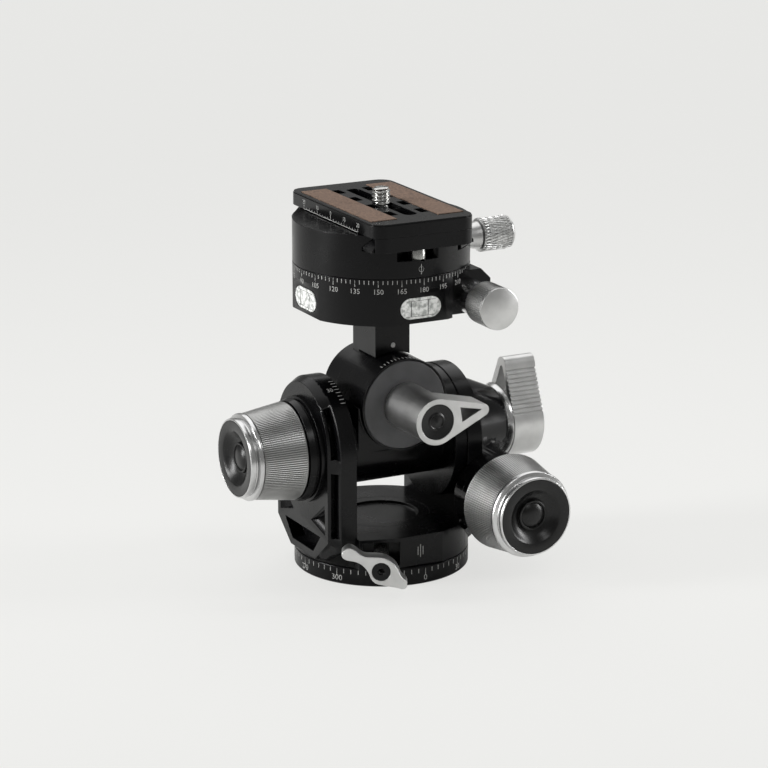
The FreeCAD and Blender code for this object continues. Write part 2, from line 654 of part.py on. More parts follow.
def build_carriage():
    axis, roll = d.tilt_level, d.roll_level
    inner, gap = d.upright_inner, d.face_gap
    flange = d.tilt_flange_inner
    drum = cylinder(d.tilt_drum_radius, flange * 2, (-flange, 0, axis), ROUND_X)
    flanges = [cylinder(d.tilt_flange_radius, inner - gap - flange, (start, 0, axis), ROUND_X)
               for start in (-(inner - gap), flange)]
    journals = [
        cylinder(d.tilt_journal_radius, d.upright_face - inner - 0.2 + gap,
                 (-(d.upright_face - 0.2), 0, axis), ROUND_X),
        cylinder(d.tilt_journal_radius, d.upright_outer - inner - 0.2 + gap, (inner - gap, 0, axis), ROUND_X),
        cylinder(d.clutch_radius + 2.5, d.wheel_width + 0.6, (d.upright_outer - 0.2, 0, axis), ROUND_X)]
    barrel = cylinder(d.barrel_radius, d.barrel_front + d.barrel_back, (0, -d.barrel_front, roll), ROUND_Y)
    web = block((-d.barrel_radius, -d.tilt_drum_radius, axis), (d.barrel_radius, d.barrel_back, roll))
    solid = fuse(drum, barrel, web, *(flanges + journals))
    rear_room = cylinder(d.rear_drum_radius + 0.4, 30, (0, d.barrel_back, roll), ROUND_Y)
    cover_room = cylinder(d.cover_radius + d.fit_gap, 5, (0, -d.barrel_front + d.cover_thick - 5, roll),
                          ROUND_Y)
    spindle_bore = cylinder(d.spindle_radius + d.running_gap, 30,
                            (0, -d.barrel_front + d.cover_thick - 1, roll), ROUND_Y)
    wheel_room = cylinder(d.roll_wheel_radius + d.gear_gap, d.roll_wheel_width / 2 + d.barrel_back + 0.4,
                          (0, -d.roll_wheel_width / 2 - 0.3, roll), ROUND_Y)
    worm_room = cylinder(d.worm_radius + d.gear_gap, d.worm_length + 1.2, (-d.worm_length / 2 - 0.6, 0, axis),
                         ROUND_X)
    shaft_bore = cylinder(d.worm_shaft_radius + d.running_gap, d.upright_face, (-d.upright_face - 1, 0, axis),
                          ROUND_X)
    clutch_bore = cylinder(d.clutch_radius + d.running_gap, 40, (d.upright_inner - 6, 0, axis), ROUND_X)
    node("tilt_carriage",
         cut(solid, rear_room, cover_room, spindle_bore, wheel_room, worm_room, shaft_bore, clutch_bore))
    cover = turned("roll_front_cover", [
        (d.clutch_radius + 0.3, 0), (d.cover_radius, 0), (d.cover_radius, d.cover_thick - 0.3),
        (d.cover_radius - 0.3, d.cover_thick), (d.clutch_radius + 0.3, d.cover_thick)])
    node("roll_front_cover", place(cover, (0, -d.barrel_front + d.cover_thick, roll), TO_FRONT))
    wheel = toothed_disc("tilt_worm_wheel", d.tilt_wheel_radius, d.wheel_width,
                         d.clutch_radius + 2.5 + d.fit_gap, 40)
    node("tilt_worm_wheel", place(wheel, (d.upright_outer + 0.1, 0, axis), ROUND_X))


def build_release_key():
    """The tilt release: a round hub with a ribbed, windowed wing that points up."""
    axis, radius, tip = d.tilt_level, d.key_radius, d.key_tip_radius
    top = axis + d.key_tip_rise
    lean = -d.key_tip_lean
    wing = [
        (lean + tip, top), (lean - tip, top, lean, top, 1), (-radius * 0.96, axis + radius * 0.28),
        (0, axis), (radius * 0.34, axis + radius * 0.82)]
    window = [(lean + 0.2, top - 0.6), (lean - 0.6, top - 0.8), (-radius * 0.6, axis + radius * 0.78),
              (radius * 0.14, axis + radius * 0.78)]
    hub = slab("hub", "YZ_Plane", [("circle", 0, axis, radius)], d.key_inner, d.key_outer)
    blade = slab("blade", "YZ_Plane", [wing], d.key_inner, d.key_outer)
    opening = slab("opening", "YZ_Plane", [window], d.key_inner - 1, d.key_outer + 1)
    bore = cylinder(d.clutch_radius + d.fit_gap, 6, (d.key_inner - 1, 0, axis), ROUND_X)
    node("tilt_release_key", cut(fuse(hub, blade), opening, bore))
    node("tilt_clutch_rod", cylinder(d.clutch_radius, d.key_inner + 4.8 - (d.upright_inner - 5),
                                     (d.upright_inner - 5, 0, axis), ROUND_X))


def build_roll_release():
    """The roll release: a long hub on the roll axis with a flat windowed wing."""
    roll, radius, tip = d.roll_level, d.lever_radius, d.lever_tip_radius
    reach, rise = d.lever_tip_reach, roll + d.lever_tip_rise
    wing = [
        (radius * 0.22, roll + radius * 0.97), (radius * 0.45, roll - radius * 0.89),
        (reach + tip * 0.44, rise - tip * 0.9), (reach + tip * 0.24, rise + tip * 0.97, reach, rise, 1)]
    window = [(radius + 0.6, roll + 4.0), (radius + 1.4, roll - 1.2), (reach - 0.6, rise + 0.4)]
    back = d.lever_face - d.lever_wing
    barrel = slab("barrel", "XZ_Plane", [("circle", 0, roll, radius)], -d.lever_face,
                  -(d.barrel_front + d.face_gap))
    blade = slab("blade", "XZ_Plane", [wing], -d.lever_face, -back)
    opening = slab("opening", "XZ_Plane", [window], -d.lever_face - 1, -back + 1)
    seat = slab("seat", "XZ_Plane", [("circle", 0, roll, d.lever_cap_radius + d.fit_gap)],
                -d.lever_face - 1, -d.lever_face + 1.6)
    bore = cylinder(d.clutch_radius - 0.5 + d.fit_gap, 12, (0, -d.barrel_front - 11, roll), ROUND_Y)
    node("roll_release_lever", cut(fuse(barrel, blade), opening, seat, bore))
    node("roll_clutch_rod", cylinder(d.clutch_radius - 0.5, 12.4, (0, -d.barrel_front - 10, roll), ROUND_Y))
    cap = turned("roll_release_cap", [
        (0, 0), (d.lever_cap_radius, 0), (d.lever_cap_radius, 1.2), (3.2, 0.7), (2.6, 1.0), (2.2, 0.7),
        (0, 1.2)])
    node("roll_release_cap", place(cap, (0, -d.lever_face + 1.6 - d.fit_gap, roll), TO_FRONT))


# The roll carrier, its post and the lower pan drum

def build_roll_carrier():
    roll = d.roll_level
    front = d.barrel_back + d.face_gap
    half_width, half_depth = d.post_width / 2, d.post_depth / 2
    drum = cylinder(d.rear_drum_radius, d.rear_drum_back - front, (0, front, roll), ROUND_Y)
    post = block((-half_width, -half_depth, roll + 8), (half_width, half_depth, d.pan_floor))
    barrel_room = cylinder(d.post_clear_radius, front + 20, (0, -20, roll), ROUND_Y)
    bore = cylinder(d.spindle_radius + d.fit_gap, 40, (0, -10, roll), ROUND_Y)
    worm_edge = d.worm_radius + d.gear_gap
    hub = cylinder(roll - d.tilt_level - worm_edge, worm_edge, (0, 0, roll), ROUND_Y)
    worm_room = cut(block((-d.post_clear_radius, 0, roll - d.post_clear_radius),
                          (d.post_clear_radius, worm_edge, roll - d.spindle_radius)), hub)
    node("roll_carrier", cut(fuse(drum, cut(post, barrel_room)), bore, worm_room))
    spindle_front = d.barrel_front - d.cover_thick - 4.0
    node("roll_spindle",
         cylinder(d.spindle_radius, spindle_front + d.rear_drum_back, (0, -spindle_front, roll), ROUND_Y))
    wheel = toothed_disc("roll_worm_wheel", d.roll_wheel_radius, d.roll_wheel_width,
                         d.spindle_radius + d.fit_gap, 36)
    node("roll_worm_wheel", place(wheel, (0, -d.roll_wheel_width / 2, roll), ROUND_Y))
    cap = turned("roll_rear_cap", [(0, 0), (10, 0), (10, 0.8), (9.4, 1.2), (0, 1.2)])
    node("roll_rear_cap", place(cap, (0, d.rear_drum_back + d.fit_gap, roll), ROUND_Y))


def stadium(centre, level, length, height):
    half, end = (length - height) / 2, height / 2
    return [
        (centre - half, level - end, centre - half, level, 1), (centre + half, level - end),
        (centre + half, level + end, centre + half, level, 1), (centre - half, level + end)]


def build_pan_drum():
    floor, seam, flat = d.pan_floor, d.pan_seam, d.level_flat
    drum = cylinder(d.drum_radius, seam - floor, (0, 0, floor))
    flat_top = d.level_zone + d.level_height / 2 + 1.2
    reach = d.drum_radius + 1
    front_cut = block((-reach, -reach, floor - 1), (reach, -flat, flat_top))
    left_cut = block((-reach, -reach, floor - 1), (-flat, reach, flat_top))
    level_loop = stadium(0, d.level_zone, d.level_length, d.level_height)
    gap = d.fit_gap
    pocket_loop = stadium(0, d.level_zone, d.level_length + gap * 2, d.level_height + gap * 2)
    front_pocket = slab("pocket", "XZ_Plane", [pocket_loop], -reach, -(flat - d.level_inset))
    left_pocket = slab("pocket", "YZ_Plane", [pocket_loop], -reach, -(flat - d.level_inset))
    worm_x, worm_z = d.pan_axis_offset, d.pan_axis_level
    spigot_bore = cylinder(d.pan_spigot_radius + d.running_gap, 10, (0, 0, worm_z))
    box_low = (worm_x - d.gearbox_half, -d.gearbox_front, floor + 0.1)
    box_high = (d.gearbox_outer, -7, seam - 1)
    box_room = block((box_low[0] - gap, -reach, floor - 1), (reach, box_high[1] + gap, box_high[2] + gap))
    node("pan_drum", cut(drum, front_cut, left_cut, front_pocket, left_pocket, spigot_bore, box_room,
                         *gear_rooms(worm_x, worm_z)))
    chamfer = d.gearbox_chamfer
    right, low, high = d.gearbox_outer, box_low[2], box_high[2]
    section = [
        (box_low[0], low), (right - chamfer, low), (right, low + chamfer), (right, high - chamfer),
        (right - chamfer, high), (box_low[0], high)]
    gearbox = slab("gearbox", "XZ_Plane", [section], box_low[1], box_high[1])
    node("pan_gearbox", cut(gearbox, *gear_rooms(worm_x, worm_z)))
    neck = turned("pan_neck", [
        (d.worm_shaft_radius + 0.2, 0), (d.neck_radius, 0),
        (d.neck_radius, d.neck_front - d.gearbox_front - 0.8),
        (d.neck_radius - 0.8, d.neck_front - d.gearbox_front),
        (d.worm_shaft_radius + 0.2, d.neck_front - d.gearbox_front)])
    node("pan_neck", place(neck, (worm_x, -d.gearbox_front, worm_z), TO_FRONT))
    node("front_level",
         slab("front_level", "XZ_Plane", [level_loop], -(flat + 0.3), -(flat - d.level_inset + gap)))
    node("left_level",
         slab("left_level", "YZ_Plane", [level_loop], -(flat + 0.3), -(flat - d.level_inset + gap)))


def gear_rooms(worm_x, worm_z):
    """Room for the pan worm, its shaft and the wheel that it drives."""
    wheel_low = worm_z - d.wheel_width / 2 - 0.8
    return [
        cylinder(d.wheel_radius + d.gear_gap, d.wheel_width + 1.6, (0, 0, wheel_low)),
        cylinder(d.pan_worm_radius + d.gear_gap, 19, (worm_x, -9.5, worm_z), ROUND_Y),
        cylinder(d.worm_shaft_radius + d.running_gap, 40, (worm_x, -32, worm_z), ROUND_Y)]


def build_pan_drive():
    worm_x, worm_z = d.pan_axis_offset, d.pan_axis_level
    length = d.pan_knob_face - d.neck_front - d.face_gap
    bore = d.worm_shaft_radius + d.fit_gap
    radius = d.pan_knob_radius
    knob = turned("pan_knob", [
        (bore, 0), (radius - 0.4, 0), (radius, 0.4), (radius, length - 0.5), (radius - 0.5, length),
        (0, length), (0, length - 2), (bore, length - 2)])
    node("pan_knob", place(knob, (worm_x, -(d.neck_front + d.face_gap), worm_z), TO_FRONT))
    seat = d.neck_front + d.face_gap
    worm = turned("pan_worm", worm_profile(
        d.worm_shaft_radius, d.pan_worm_radius, SIZES["worm_pitch"], -seat - 9, -seat - 8.6, -seat + 6.4,
        length - 2.2))
    node("pan_worm", place(worm, (worm_x, -seat, worm_z), TO_FRONT))


# The panning clamp, its jaw and the plate

def slot_section(side, spread=0.0):
    """Half of the dovetail slot, on the side given, open at the top."""
    top, low = d.drum_top + 1, d.slot_floor
    wide, narrow = d.slot_wide_half + spread, d.slot_half + spread
    return [
        (0, low), (side * wide, low), (side * wide, low + 1.2), (side * narrow, low + 1.2 + wide - narrow),
        (side * narrow, top), (0, top)]


def build_clamp():
    seam, top, radius = d.clamp_seam, d.drum_top, d.drum_radius
    reach = radius + 1
    gap = d.face_gap
    drum = cylinder(radius, top - seam, (0, 0, seam))
    spigot = cylinder(d.pan_spigot_radius, 6, (0, 0, seam - 5.5))
    wheel_seat = cylinder(d.pan_spigot_radius - 4, 14, (0, 0, seam - 13))
    slot = slab("slot", "XZ_Plane", [slot_section(-1)], -reach, reach)
    body_edge, jaw_edge = d.jaw_split - d.jaw_gap / 2, d.jaw_split + d.jaw_gap / 2
    jaw_room = block((body_edge, -reach, d.jaw_floor - gap), (reach, reach, top + 1))
    half = d.tongue_half + gap
    tongue_room = block((d.tongue_split - gap, -half, d.clamp_seam + 0.2), (reach, half, d.jaw_floor))
    screw_bore = cylinder(d.clamp_screw_radius + d.running_gap, 60, (-9, 0, d.clamp_level), ROUND_X)
    pins = [cylinder(1.2 + d.running_gap, 20, (9, side * 6, d.clamp_level), ROUND_X) for side in (-1, 1)]
    open_top = block((-1, -reach, d.slot_floor), (reach, reach, top + 1))
    stop_bore = cylinder(1.6 + d.fit_gap, 4, (0, -radius - 1, d.slot_floor - 2.4), ROUND_Y)
    node("clamp_drum", cut(fuse(drum, spigot, wheel_seat), slot, open_top, jaw_room, tongue_room, screw_bore,
                           stop_bore, *pins))
    wheel = toothed_disc("pan_worm_wheel", d.wheel_radius, d.wheel_width, d.pan_spigot_radius - 4 + d.fit_gap,
                         48)
    node("pan_worm_wheel", place(wheel, (0, 0, d.pan_axis_level - d.wheel_width / 2), ROUND_Z))
    upper = common(cylinder(radius, top - d.jaw_floor, (0, 0, d.jaw_floor)),
                   block((jaw_edge, -reach, d.jaw_floor - 1), (reach, reach, top + 1)))
    tongue = common(cylinder(radius, 10, (0, 0, d.clamp_seam + 0.5)),
                    block((d.tongue_split, -d.tongue_half, d.clamp_seam + 0.5),
                          (reach, d.tongue_half, d.jaw_floor + 1)))
    jaw_slot = slab("slot", "XZ_Plane", [slot_section(1)], -reach, reach)
    jaw_bore = cylinder(d.clamp_screw_radius + d.running_gap, 20, (d.tongue_split - 1, 0, d.clamp_level),
                        ROUND_X)
    jaw_pins = [cylinder(1.2 + d.fit_gap, 7, (d.tongue_split - 1, side * 6, d.clamp_level), ROUND_X)
                for side in (-1, 1)]
    node("clamp_jaw", cut(fuse(upper, tongue), jaw_slot, jaw_bore, *jaw_pins))
    for name, side in (("front_guide_pin", -1), ("rear_guide_pin", 1)):
        node(name, cylinder(1.2, 16, (d.tongue_split - 10.5, side * 6, d.clamp_level), ROUND_X))
    stop = turned("plate_stop_screw",
                  [(0, 0), (1.6, 0), (1.6, 2.8), (2.1, 2.8), (2.1, 3.6), (1.7, 4.0), (0, 4.0)])
    node("plate_stop_screw", place(stop, (0, -radius + 2.8, d.slot_floor - 2.4), TO_FRONT))


def build_clamp_knob():
    start = d.drum_radius + 0.4
    length, neck = d.clamp_knob_outer - start, d.clamp_knob_inner - start
    radius = d.clamp_knob_radius
    body = turned("clamp_knob", [
        (d.clamp_screw_radius + d.fit_gap, 0), (d.clamp_neck_radius, 0), (d.clamp_neck_radius, neck * 0.25),
        (radius - 0.5, neck), (radius, neck + 0.4), (radius, length - 0.9), (radius - 0.9, length),
        (0, length),
        (0, length - 3), (d.clamp_screw_radius + d.fit_gap, length - 3)])
    node("clamp_knob", place(body, (start, 0, d.clamp_level), ROUND_X))
    node("clamp_screw",
         cylinder(d.clamp_screw_radius, d.clamp_knob_outer - 3.2 + 6, (-6, 0, d.clamp_level), ROUND_X))


def rounded(half_x, half_y, radius):
    return [
        (half_x - radius, -half_y), (half_x, -half_y + radius, half_x - radius, -half_y + radius, 1),
        (half_x, half_y - radius), (half_x - radius, half_y, half_x - radius, half_y - radius, 1),
        (-half_x + radius, half_y), (-half_x, half_y - radius, -half_x + radius, half_y - radius, 1),
        (-half_x, -half_y + radius), (-half_x + radius, -half_y, -half_x + radius, -half_y + radius, 1)]


def build_plate():
    top, half_x, half_y = d.plate_top, d.plate_half_width, d.plate_half_length
    under = top - d.plate_slab
    slab_piece = slab("slab", "XY_Plane", [rounded(half_x, half_y, d.plate_corner)], under, top)
    tail_half = d.plate_tail_half
    low = d.plate_bottom
    section = [
        (-tail_half, low), (tail_half, low), (tail_half, low + 1.0),
        (d.plate_neck_half, low + 1.0 + tail_half - d.plate_neck_half),
        (d.plate_neck_half, under + 0.5), (-d.plate_neck_half, under + 0.5),
        (-d.plate_neck_half, low + 1.0 + tail_half - d.plate_neck_half), (-tail_half, low + 1.0)]
    back = half_y - 0.4
    front = d.drum_radius - 6
    tail = slab("tail", "XZ_Plane", [section], -front, back - 2)
    lip = common(
        slab("lip", "XY_Plane", [rounded(half_x, half_y, d.plate_corner)], top - d.lip_drop, under + 1),
        block((-half_x, -half_y, 0), (half_x, -(half_y - d.lip_thick), top)))
    well = slab("well", "XY_Plane", [rounded(7.6, d.window_length / 2 + 7, 2.0)], low - 1, top - 2.4)
    window = slab("window", "XY_Plane", [rounded(d.window_width, d.window_length / 2, 3.0)], low - 1, top + 1)
    ends = [slab("window", "XY_Plane",
                 [[(-2.6, side * 18), (2.6, side * 18), (2.6, side * 25), (-2.6, side * 25)]],
                 low - 1, top + 1) for side in (-1, 1)]
    grooves = []
    strips = []
    for side in (-1, 1):
        x_low = side * d.strip_centre - d.strip_width / 2
        x_high = side * d.strip_centre + d.strip_width / 2
        gap = d.fit_gap
        half = d.strip_length / 2
        grooves.append(block((x_low - gap, -half - gap, top - d.strip_sink),
                             (x_high + gap, half + gap, top + 1)))
        strips.append(block((x_low, -half, top - d.strip_sink),
                            (x_high, half, top - d.strip_sink + d.strip_thick)))
    node("quick_release_plate", cut(fuse(slab_piece, tail, lip), well, window, *(ends + grooves)))
    node("left_grip_strip", strips[0])
    node("right_grip_strip", strips[1])
    head_low = low + 0.5
    node("camera_screw", turned("camera_screw", [
        (0, head_low), (d.camera_head_radius, head_low),
        (d.camera_head_radius, head_low + d.camera_head_thick),
        (d.camera_screw_radius - 0.6, head_low + d.camera_head_thick),
        (d.camera_screw_radius - 0.6, top + 0.1),
        (d.camera_screw_radius, top + 0.1), (d.camera_screw_radius, top + d.camera_screw_rise - 0.5),
        (d.camera_screw_radius - 0.5, top + d.camera_screw_rise), (0, top + d.camera_screw_rise)]))


def build():
    build_base()
    build_table()
    build_pan_lock()
    build_uprights()
    build_housing()
    build_gear_knob("tilt", (d.tilt_wheel_centre, -d.tilt_knob_seat, d.tilt_worm_level), TO_FRONT,
                    d.tilt_knob_seat)
    build_gear_knob("roll", (-d.knob_seat, 0, d.tilt_level), TO_LEFT, d.knob_seat)
    build_carriage()
    build_release_key()
    build_roll_release()
    build_roll_carrier()
    build_pan_drum()
    build_pan_drive()
    build_clamp()
    build_clamp_knob()
    build_plate()


def check_and_write():
    doc.recompute()
    failed = [item.Label for item in doc.Objects if "Invalid" in item.State or "Error" in item.State]
    if failed:
        raise RuntimeError("these did not build: " + ", ".join(failed))
    os.makedirs("parts", exist_ok=True)
    for name, item in PARTS:
        shape = item.Shape
        if shape.isNull() or not shape.isValid() or not shape.Solids:
            raise RuntimeError("bad shape: " + name)
        if len(shape.Solids) != 1:
            raise RuntimeError("not one piece: " + name)
        shape.Solids[0].exportStep(os.path.join("parts", name + ".step"))
        print(name, round(shape.Volume, 1), "mm3")


build()
check_and_write()
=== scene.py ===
"""Dresses a geared tripod head for rendering: finishes, scales, knurling, levels, threads and the stage."""
import json
import math

import bmesh
import bpy
from bpy.props import FloatProperty, FloatVectorProperty, IntProperty, PointerProperty
from mathutils import Matrix, Vector


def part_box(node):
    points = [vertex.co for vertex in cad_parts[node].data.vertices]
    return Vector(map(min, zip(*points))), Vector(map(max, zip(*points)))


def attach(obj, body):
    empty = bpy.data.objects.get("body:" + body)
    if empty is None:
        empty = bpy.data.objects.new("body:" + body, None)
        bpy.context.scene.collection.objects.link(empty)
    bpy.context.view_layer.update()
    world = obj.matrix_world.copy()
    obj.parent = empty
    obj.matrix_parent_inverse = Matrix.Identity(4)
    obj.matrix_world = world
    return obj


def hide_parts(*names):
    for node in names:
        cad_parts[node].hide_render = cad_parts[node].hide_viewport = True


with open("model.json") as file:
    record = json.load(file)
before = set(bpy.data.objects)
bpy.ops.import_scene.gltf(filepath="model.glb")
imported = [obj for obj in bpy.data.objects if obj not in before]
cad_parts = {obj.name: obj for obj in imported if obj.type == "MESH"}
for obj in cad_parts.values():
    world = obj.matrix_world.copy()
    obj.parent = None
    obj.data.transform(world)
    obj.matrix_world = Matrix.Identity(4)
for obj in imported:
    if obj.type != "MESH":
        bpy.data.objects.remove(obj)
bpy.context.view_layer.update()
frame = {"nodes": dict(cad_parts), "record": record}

bl_info = {
    "name": "Geared tripod head",
    "version": (1, 0, 0),
    "blender": (4, 5, 0),
    "location": "3D View > Sidebar > Geared head",
    "description": "Finishes, scales, knurling and stage for a geared tripod head",
    "category": "Object",
}

MM = 0.001
UP = Vector((0, 0, 1))
LEFT = Vector((-1, 0, 0))
RIGHT = Vector((1, 0, 0))
FRONT = Vector((0, -1, 0))

# How much of the backdrop's tone the camera sees without light and shadow
EVEN_SHARE = 0.8


def linear(code):
    """Linear colour with alpha from an sRGB hex value."""
    shares = [int(code[i:i + 2], 16) / 255 for i in (1, 3, 5)]
    return [s / 12.92 if s <= 0.04045 else ((s + 0.055) / 1.055) ** 2.4 for s in shares] + [1.0]


def box(node):
    """A node's lowest and highest corners in millimetres."""
    low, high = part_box(node)
    return Vector(low) / MM, Vector(high) / MM


# Sizes and colours that a user would change

class HeadSizes(bpy.types.PropertyGroup):
    rib_count: IntProperty(name="Knob ribs", description="Fine ribs round each gear knob", default=132,
                           min=40)
    rib_depth: FloatProperty(name="Rib depth", description="How far a knob's ribs stand up, mm", default=0.45)
    knurl_count: IntProperty(name="Small knob ribs", description="Ribs round the small knobs", default=64,
                             min=20)
    tick_width: FloatProperty(name="Tick width", description="Width of a scale's ticks, mm", default=0.24)
    tick_depth: FloatProperty(name="Ink thickness", description="How far the ink stands up, mm", default=0.03)
    base_tick: FloatProperty(name="Base tick", description="Length of a tick on the base ring, mm",
                             default=1.5)
    drum_tick: FloatProperty(name="Drum tick", description="Length of a tick on the pan drum, mm",
                             default=1.3)
    number_height: FloatProperty(name="Number height", description="Height of a scale's numbers, mm",
                                 default=2.0)
    thread_pitch: FloatProperty(name="Thread pitch", description="Pitch of the camera screw, mm",
                                default=1.27)
    bubble_length: FloatProperty(name="Bubble", description="Length of a level's bubble, mm", default=5.2)


class HeadColours(bpy.types.PropertyGroup):
    black: FloatVectorProperty(name="Black", description="Hard-anodised aluminium", subtype="COLOR", size=4,
                               default=linear("#050506"))
    gloss: FloatVectorProperty(name="Gloss black", description="Polished black aluminium", subtype="COLOR",
                               size=4,
                               default=linear("#050506"))
    clear: FloatVectorProperty(name="Grey", description="Clear-anodised aluminium", subtype="COLOR", size=4,
                               default=linear("#cccccb"))
    cork: FloatVectorProperty(name="Cork", description="Cork and rubber grip", subtype="COLOR", size=4,
                              default=linear("#6b5648"))
    ink: FloatVectorProperty(name="Ink", description="Engraving fill", subtype="COLOR", size=4,
                             default=linear("#a9a9a7"))
    floor: FloatVectorProperty(name="Floor", description="Floor and backdrop", subtype="COLOR", size=4,
                               default=linear("#ececea"))


# Materials: one small function adds a node, the others are finishes

def add(tree, kind, settings=None, **links):
    """Adds a node. Settings are its own fields, links its inputs: a value or a socket to join."""
    item = tree.nodes.new(kind)
    for field, value in (settings or {}).items():
        setattr(item, field, value)
    for name, value in links.items():
        socket = item.inputs[int(name[1:])] if name[0] == "_" and name[1:].isdigit() else item.inputs[
            name.replace("_", " ")]
        if isinstance(value, bpy.types.NodeSocket):
            tree.links.new(value, socket)
        else:
            socket.default_value = value
    return item


def new_material(name):
    material = bpy.data.materials.new(name)
    material.use_nodes = True
    tree = material.node_tree
    tree.nodes.clear()
    output = add(tree, "ShaderNodeOutputMaterial")
    shader = add(tree, "ShaderNodeBsdfPrincipled")
    tree.links.new(shader.outputs[0], output.inputs["Surface"])
    return material, tree, shader


def where(tree):
    """Object coordinates, in metres."""
    return add(tree, "ShaderNodeTexCoord").outputs["Object"]


def noise(tree, size_mm, detail=3.0):
    """Noise whose features are about size_mm across."""
    return add(tree, "ShaderNodeTexNoise", Vector=where(tree), Scale=1000.0 / size_mm,
               Detail=detail).outputs[0]


def spread(tree, value, low, high, start=0.35, end=0.65):
    return add(tree, "ShaderNodeMapRange", _0=value, _1=start, _2=end, _3=low, _4=high).outputs[0]


def soft_edges(tree, shader, radius_mm, grain=None, depth_mm=0.0):
    """Rounds the shading along sharp edges, and adds the surface's grain on top."""
    edge = add(tree, "ShaderNodeBevel", {"samples": 4}, Radius=radius_mm * MM).outputs[0]
    if grain is not None:
        edge = add(tree, "ShaderNodeBump", Height=grain, Normal=edge, Strength=1.0,
                   Distance=depth_mm * MM).outputs[0]
    tree.links.new(edge, shader.inputs["Normal"])


def hard_anodised(name, colour, roughness):
    """Black anodised aluminium, blasted before it is dyed: a dark, even semi-matt surface with a faint grain.
    """
    material, tree, shader = new_material(name)
    tone = noise(tree, 9.0)
    grain = noise(tree, 0.35, 2.0)
    shade = add(tree, "ShaderNodeMixRGB", _0=spread(tree, tone, 0.0, 0.5), _1=list(colour),
                _2=[c * 1.5 for c in colour[:3]] + [1.0]).outputs[0]
    tree.links.new(shade, shader.inputs["Base Color"])
    tree.links.new(spread(tree, tone, roughness - 0.04, roughness + 0.04), shader.inputs["Roughness"])
    shader.inputs["Specular IOR Level"].default_value = 0.22
    soft_edges(tree, shader, 0.3, grain, 0.003)
    return material


def clear_anodised(name, colour, roughness, grain_depth=0.006, edge_mm=0.25):
    """Clear-anodised aluminium, fine turned and blasted: pale metal with a soft sheen."""
    material, tree, shader = new_material(name)
    tone = noise(tree, 6.0)
    grain = noise(tree, 0.3, 2.0)
    shade = add(tree, "ShaderNodeMixRGB", _0=spread(tree, tone, 0.0, 1.0), _1=list(colour),
                _2=[c * 0.86 for c in colour[:3]] + [1.0]).outputs[0]
    tree.links.new(shade, shader.inputs["Base Color"])
    tree.links.new(spread(tree, grain, roughness - 0.03, roughness + 0.05), shader.inputs["Roughness"])
    shader.inputs["Metallic"].default_value = 1.0
    if edge_mm:
        soft_edges(tree, shader, edge_mm, grain, grain_depth)
    return material


def acetal(name, colour, roughness):
    """Moulded black acetal: slightly waxy, with a very fine mould grain."""
    material, tree, shader = new_material(name)
    grain = noise(tree, 0.25, 2.0)
    shader.inputs["Base Color"].default_value = colour
    shader.inputs["Specular IOR Level"].default_value = 0.35
    tree.links.new(spread(tree, grain, roughness - 0.03, roughness + 0.05), shader.inputs["Roughness"])
    soft_edges(tree, shader, 0.2, grain, 0.003)
    return material


def vial_acrylic():
    """A clear acrylic level seen against its pale backing: white, with grey patches as painted reflections.
    """
    material, tree, shader = new_material("acrylic_level_vial")
    tone = noise(tree, 1.6, 4.0)
    # painted reflection: grey patches in the white stand in for the silver reflections in the vial
    shade = add(tree, "ShaderNodeMixRGB", _0=spread(tree, tone, 0.0, 1.0, 0.42, 0.6), _1=linear("#f2f3f1"),
                _2=linear("#a7aaa7")).outputs[0]
    tree.links.new(shade, shader.inputs["Base Color"])
    shader.inputs["Roughness"].default_value = 0.08
    shader.inputs["Coat Weight"].default_value = 1.0
    shader.inputs["Coat Roughness"].default_value = 0.03
    return material


def cork_rubber(colour):
    """Ground cork bound with rubber: brown with darker and paler crumbs about 0.6 mm across."""
    material, tree, shader = new_material("cork_rubber")
    crumbs = add(tree, "ShaderNodeTexVoronoi", Vector=where(tree), Scale=1700.0)
    patch = noise(tree, 4.0)
    pale = [min(1.0, c * 1.45) for c in colour[:3]] + [1.0]
    dark = [c * 0.55 for c in colour[:3]] + [1.0]
    first = add(tree, "ShaderNodeMixRGB", _0=spread(tree, crumbs.outputs["Color"], 0.0, 1.0, 0.2, 0.8),
                _1=dark, _2=pale).outputs[0]
    shade = add(tree, "ShaderNodeMixRGB", _0=spread(tree, patch, 0.2, 0.7), _1=first,
                _2=list(colour)).outputs[0]
    tree.links.new(shade, shader.inputs["Base Color"])
    shader.inputs["Roughness"].default_value = 0.85
    soft_edges(tree, shader, 0.15, crumbs.outputs["Distance"], 0.05)
    return material


def bronze():
    """Turned bearing bronze: warm metal, darker where it is oily."""
    material, tree, shader = new_material("turned_bearing_bronze")
    tone = noise(tree, 5.0)
    shade = add(tree, "ShaderNodeMixRGB", _0=spread(tree, tone, 0.0, 1.0), _1=linear("#b98b4e"),
                _2=linear("#8a6335")).outputs[0]
    tree.links.new(shade, shader.inputs["Base Color"])
    shader.inputs["Metallic"].default_value = 1.0
    shader.inputs["Roughness"].default_value = 0.32
    soft_edges(tree, shader, 0.15)
    return material


def ink(colour):
    """Matt enamel ink wiped into an engraving: pale grey, uneven by a few percent."""
    material, tree, shader = new_material("enamel_ink")
    tone = noise(tree, 0.8)
    shade = add(tree, "ShaderNodeMixRGB", _0=spread(tree, tone, 0.0, 0.35), _1=list(colour),
                _2=linear("#4c4c4c")).outputs[0]
    tree.links.new(shade, shader.inputs["Base Color"])
    shader.inputs["Roughness"].default_value = 0.6
    return material


def plain(name, code, roughness):
    """Even paint or paper: a flat tone broken by a soft mottle."""
    material, tree, shader = new_material(name)
    colour = code if not isinstance(code, str) else linear(code)
    tone = noise(tree, 60.0)
    shade = add(tree, "ShaderNodeMixRGB", _0=spread(tree, tone, 0.0, 0.04), _1=list(colour),
                _2=linear("#d0d0d0")).outputs[0]
    tree.links.new(shade, shader.inputs["Base Color"])
    shader.inputs["Roughness"].default_value = roughness
    return material


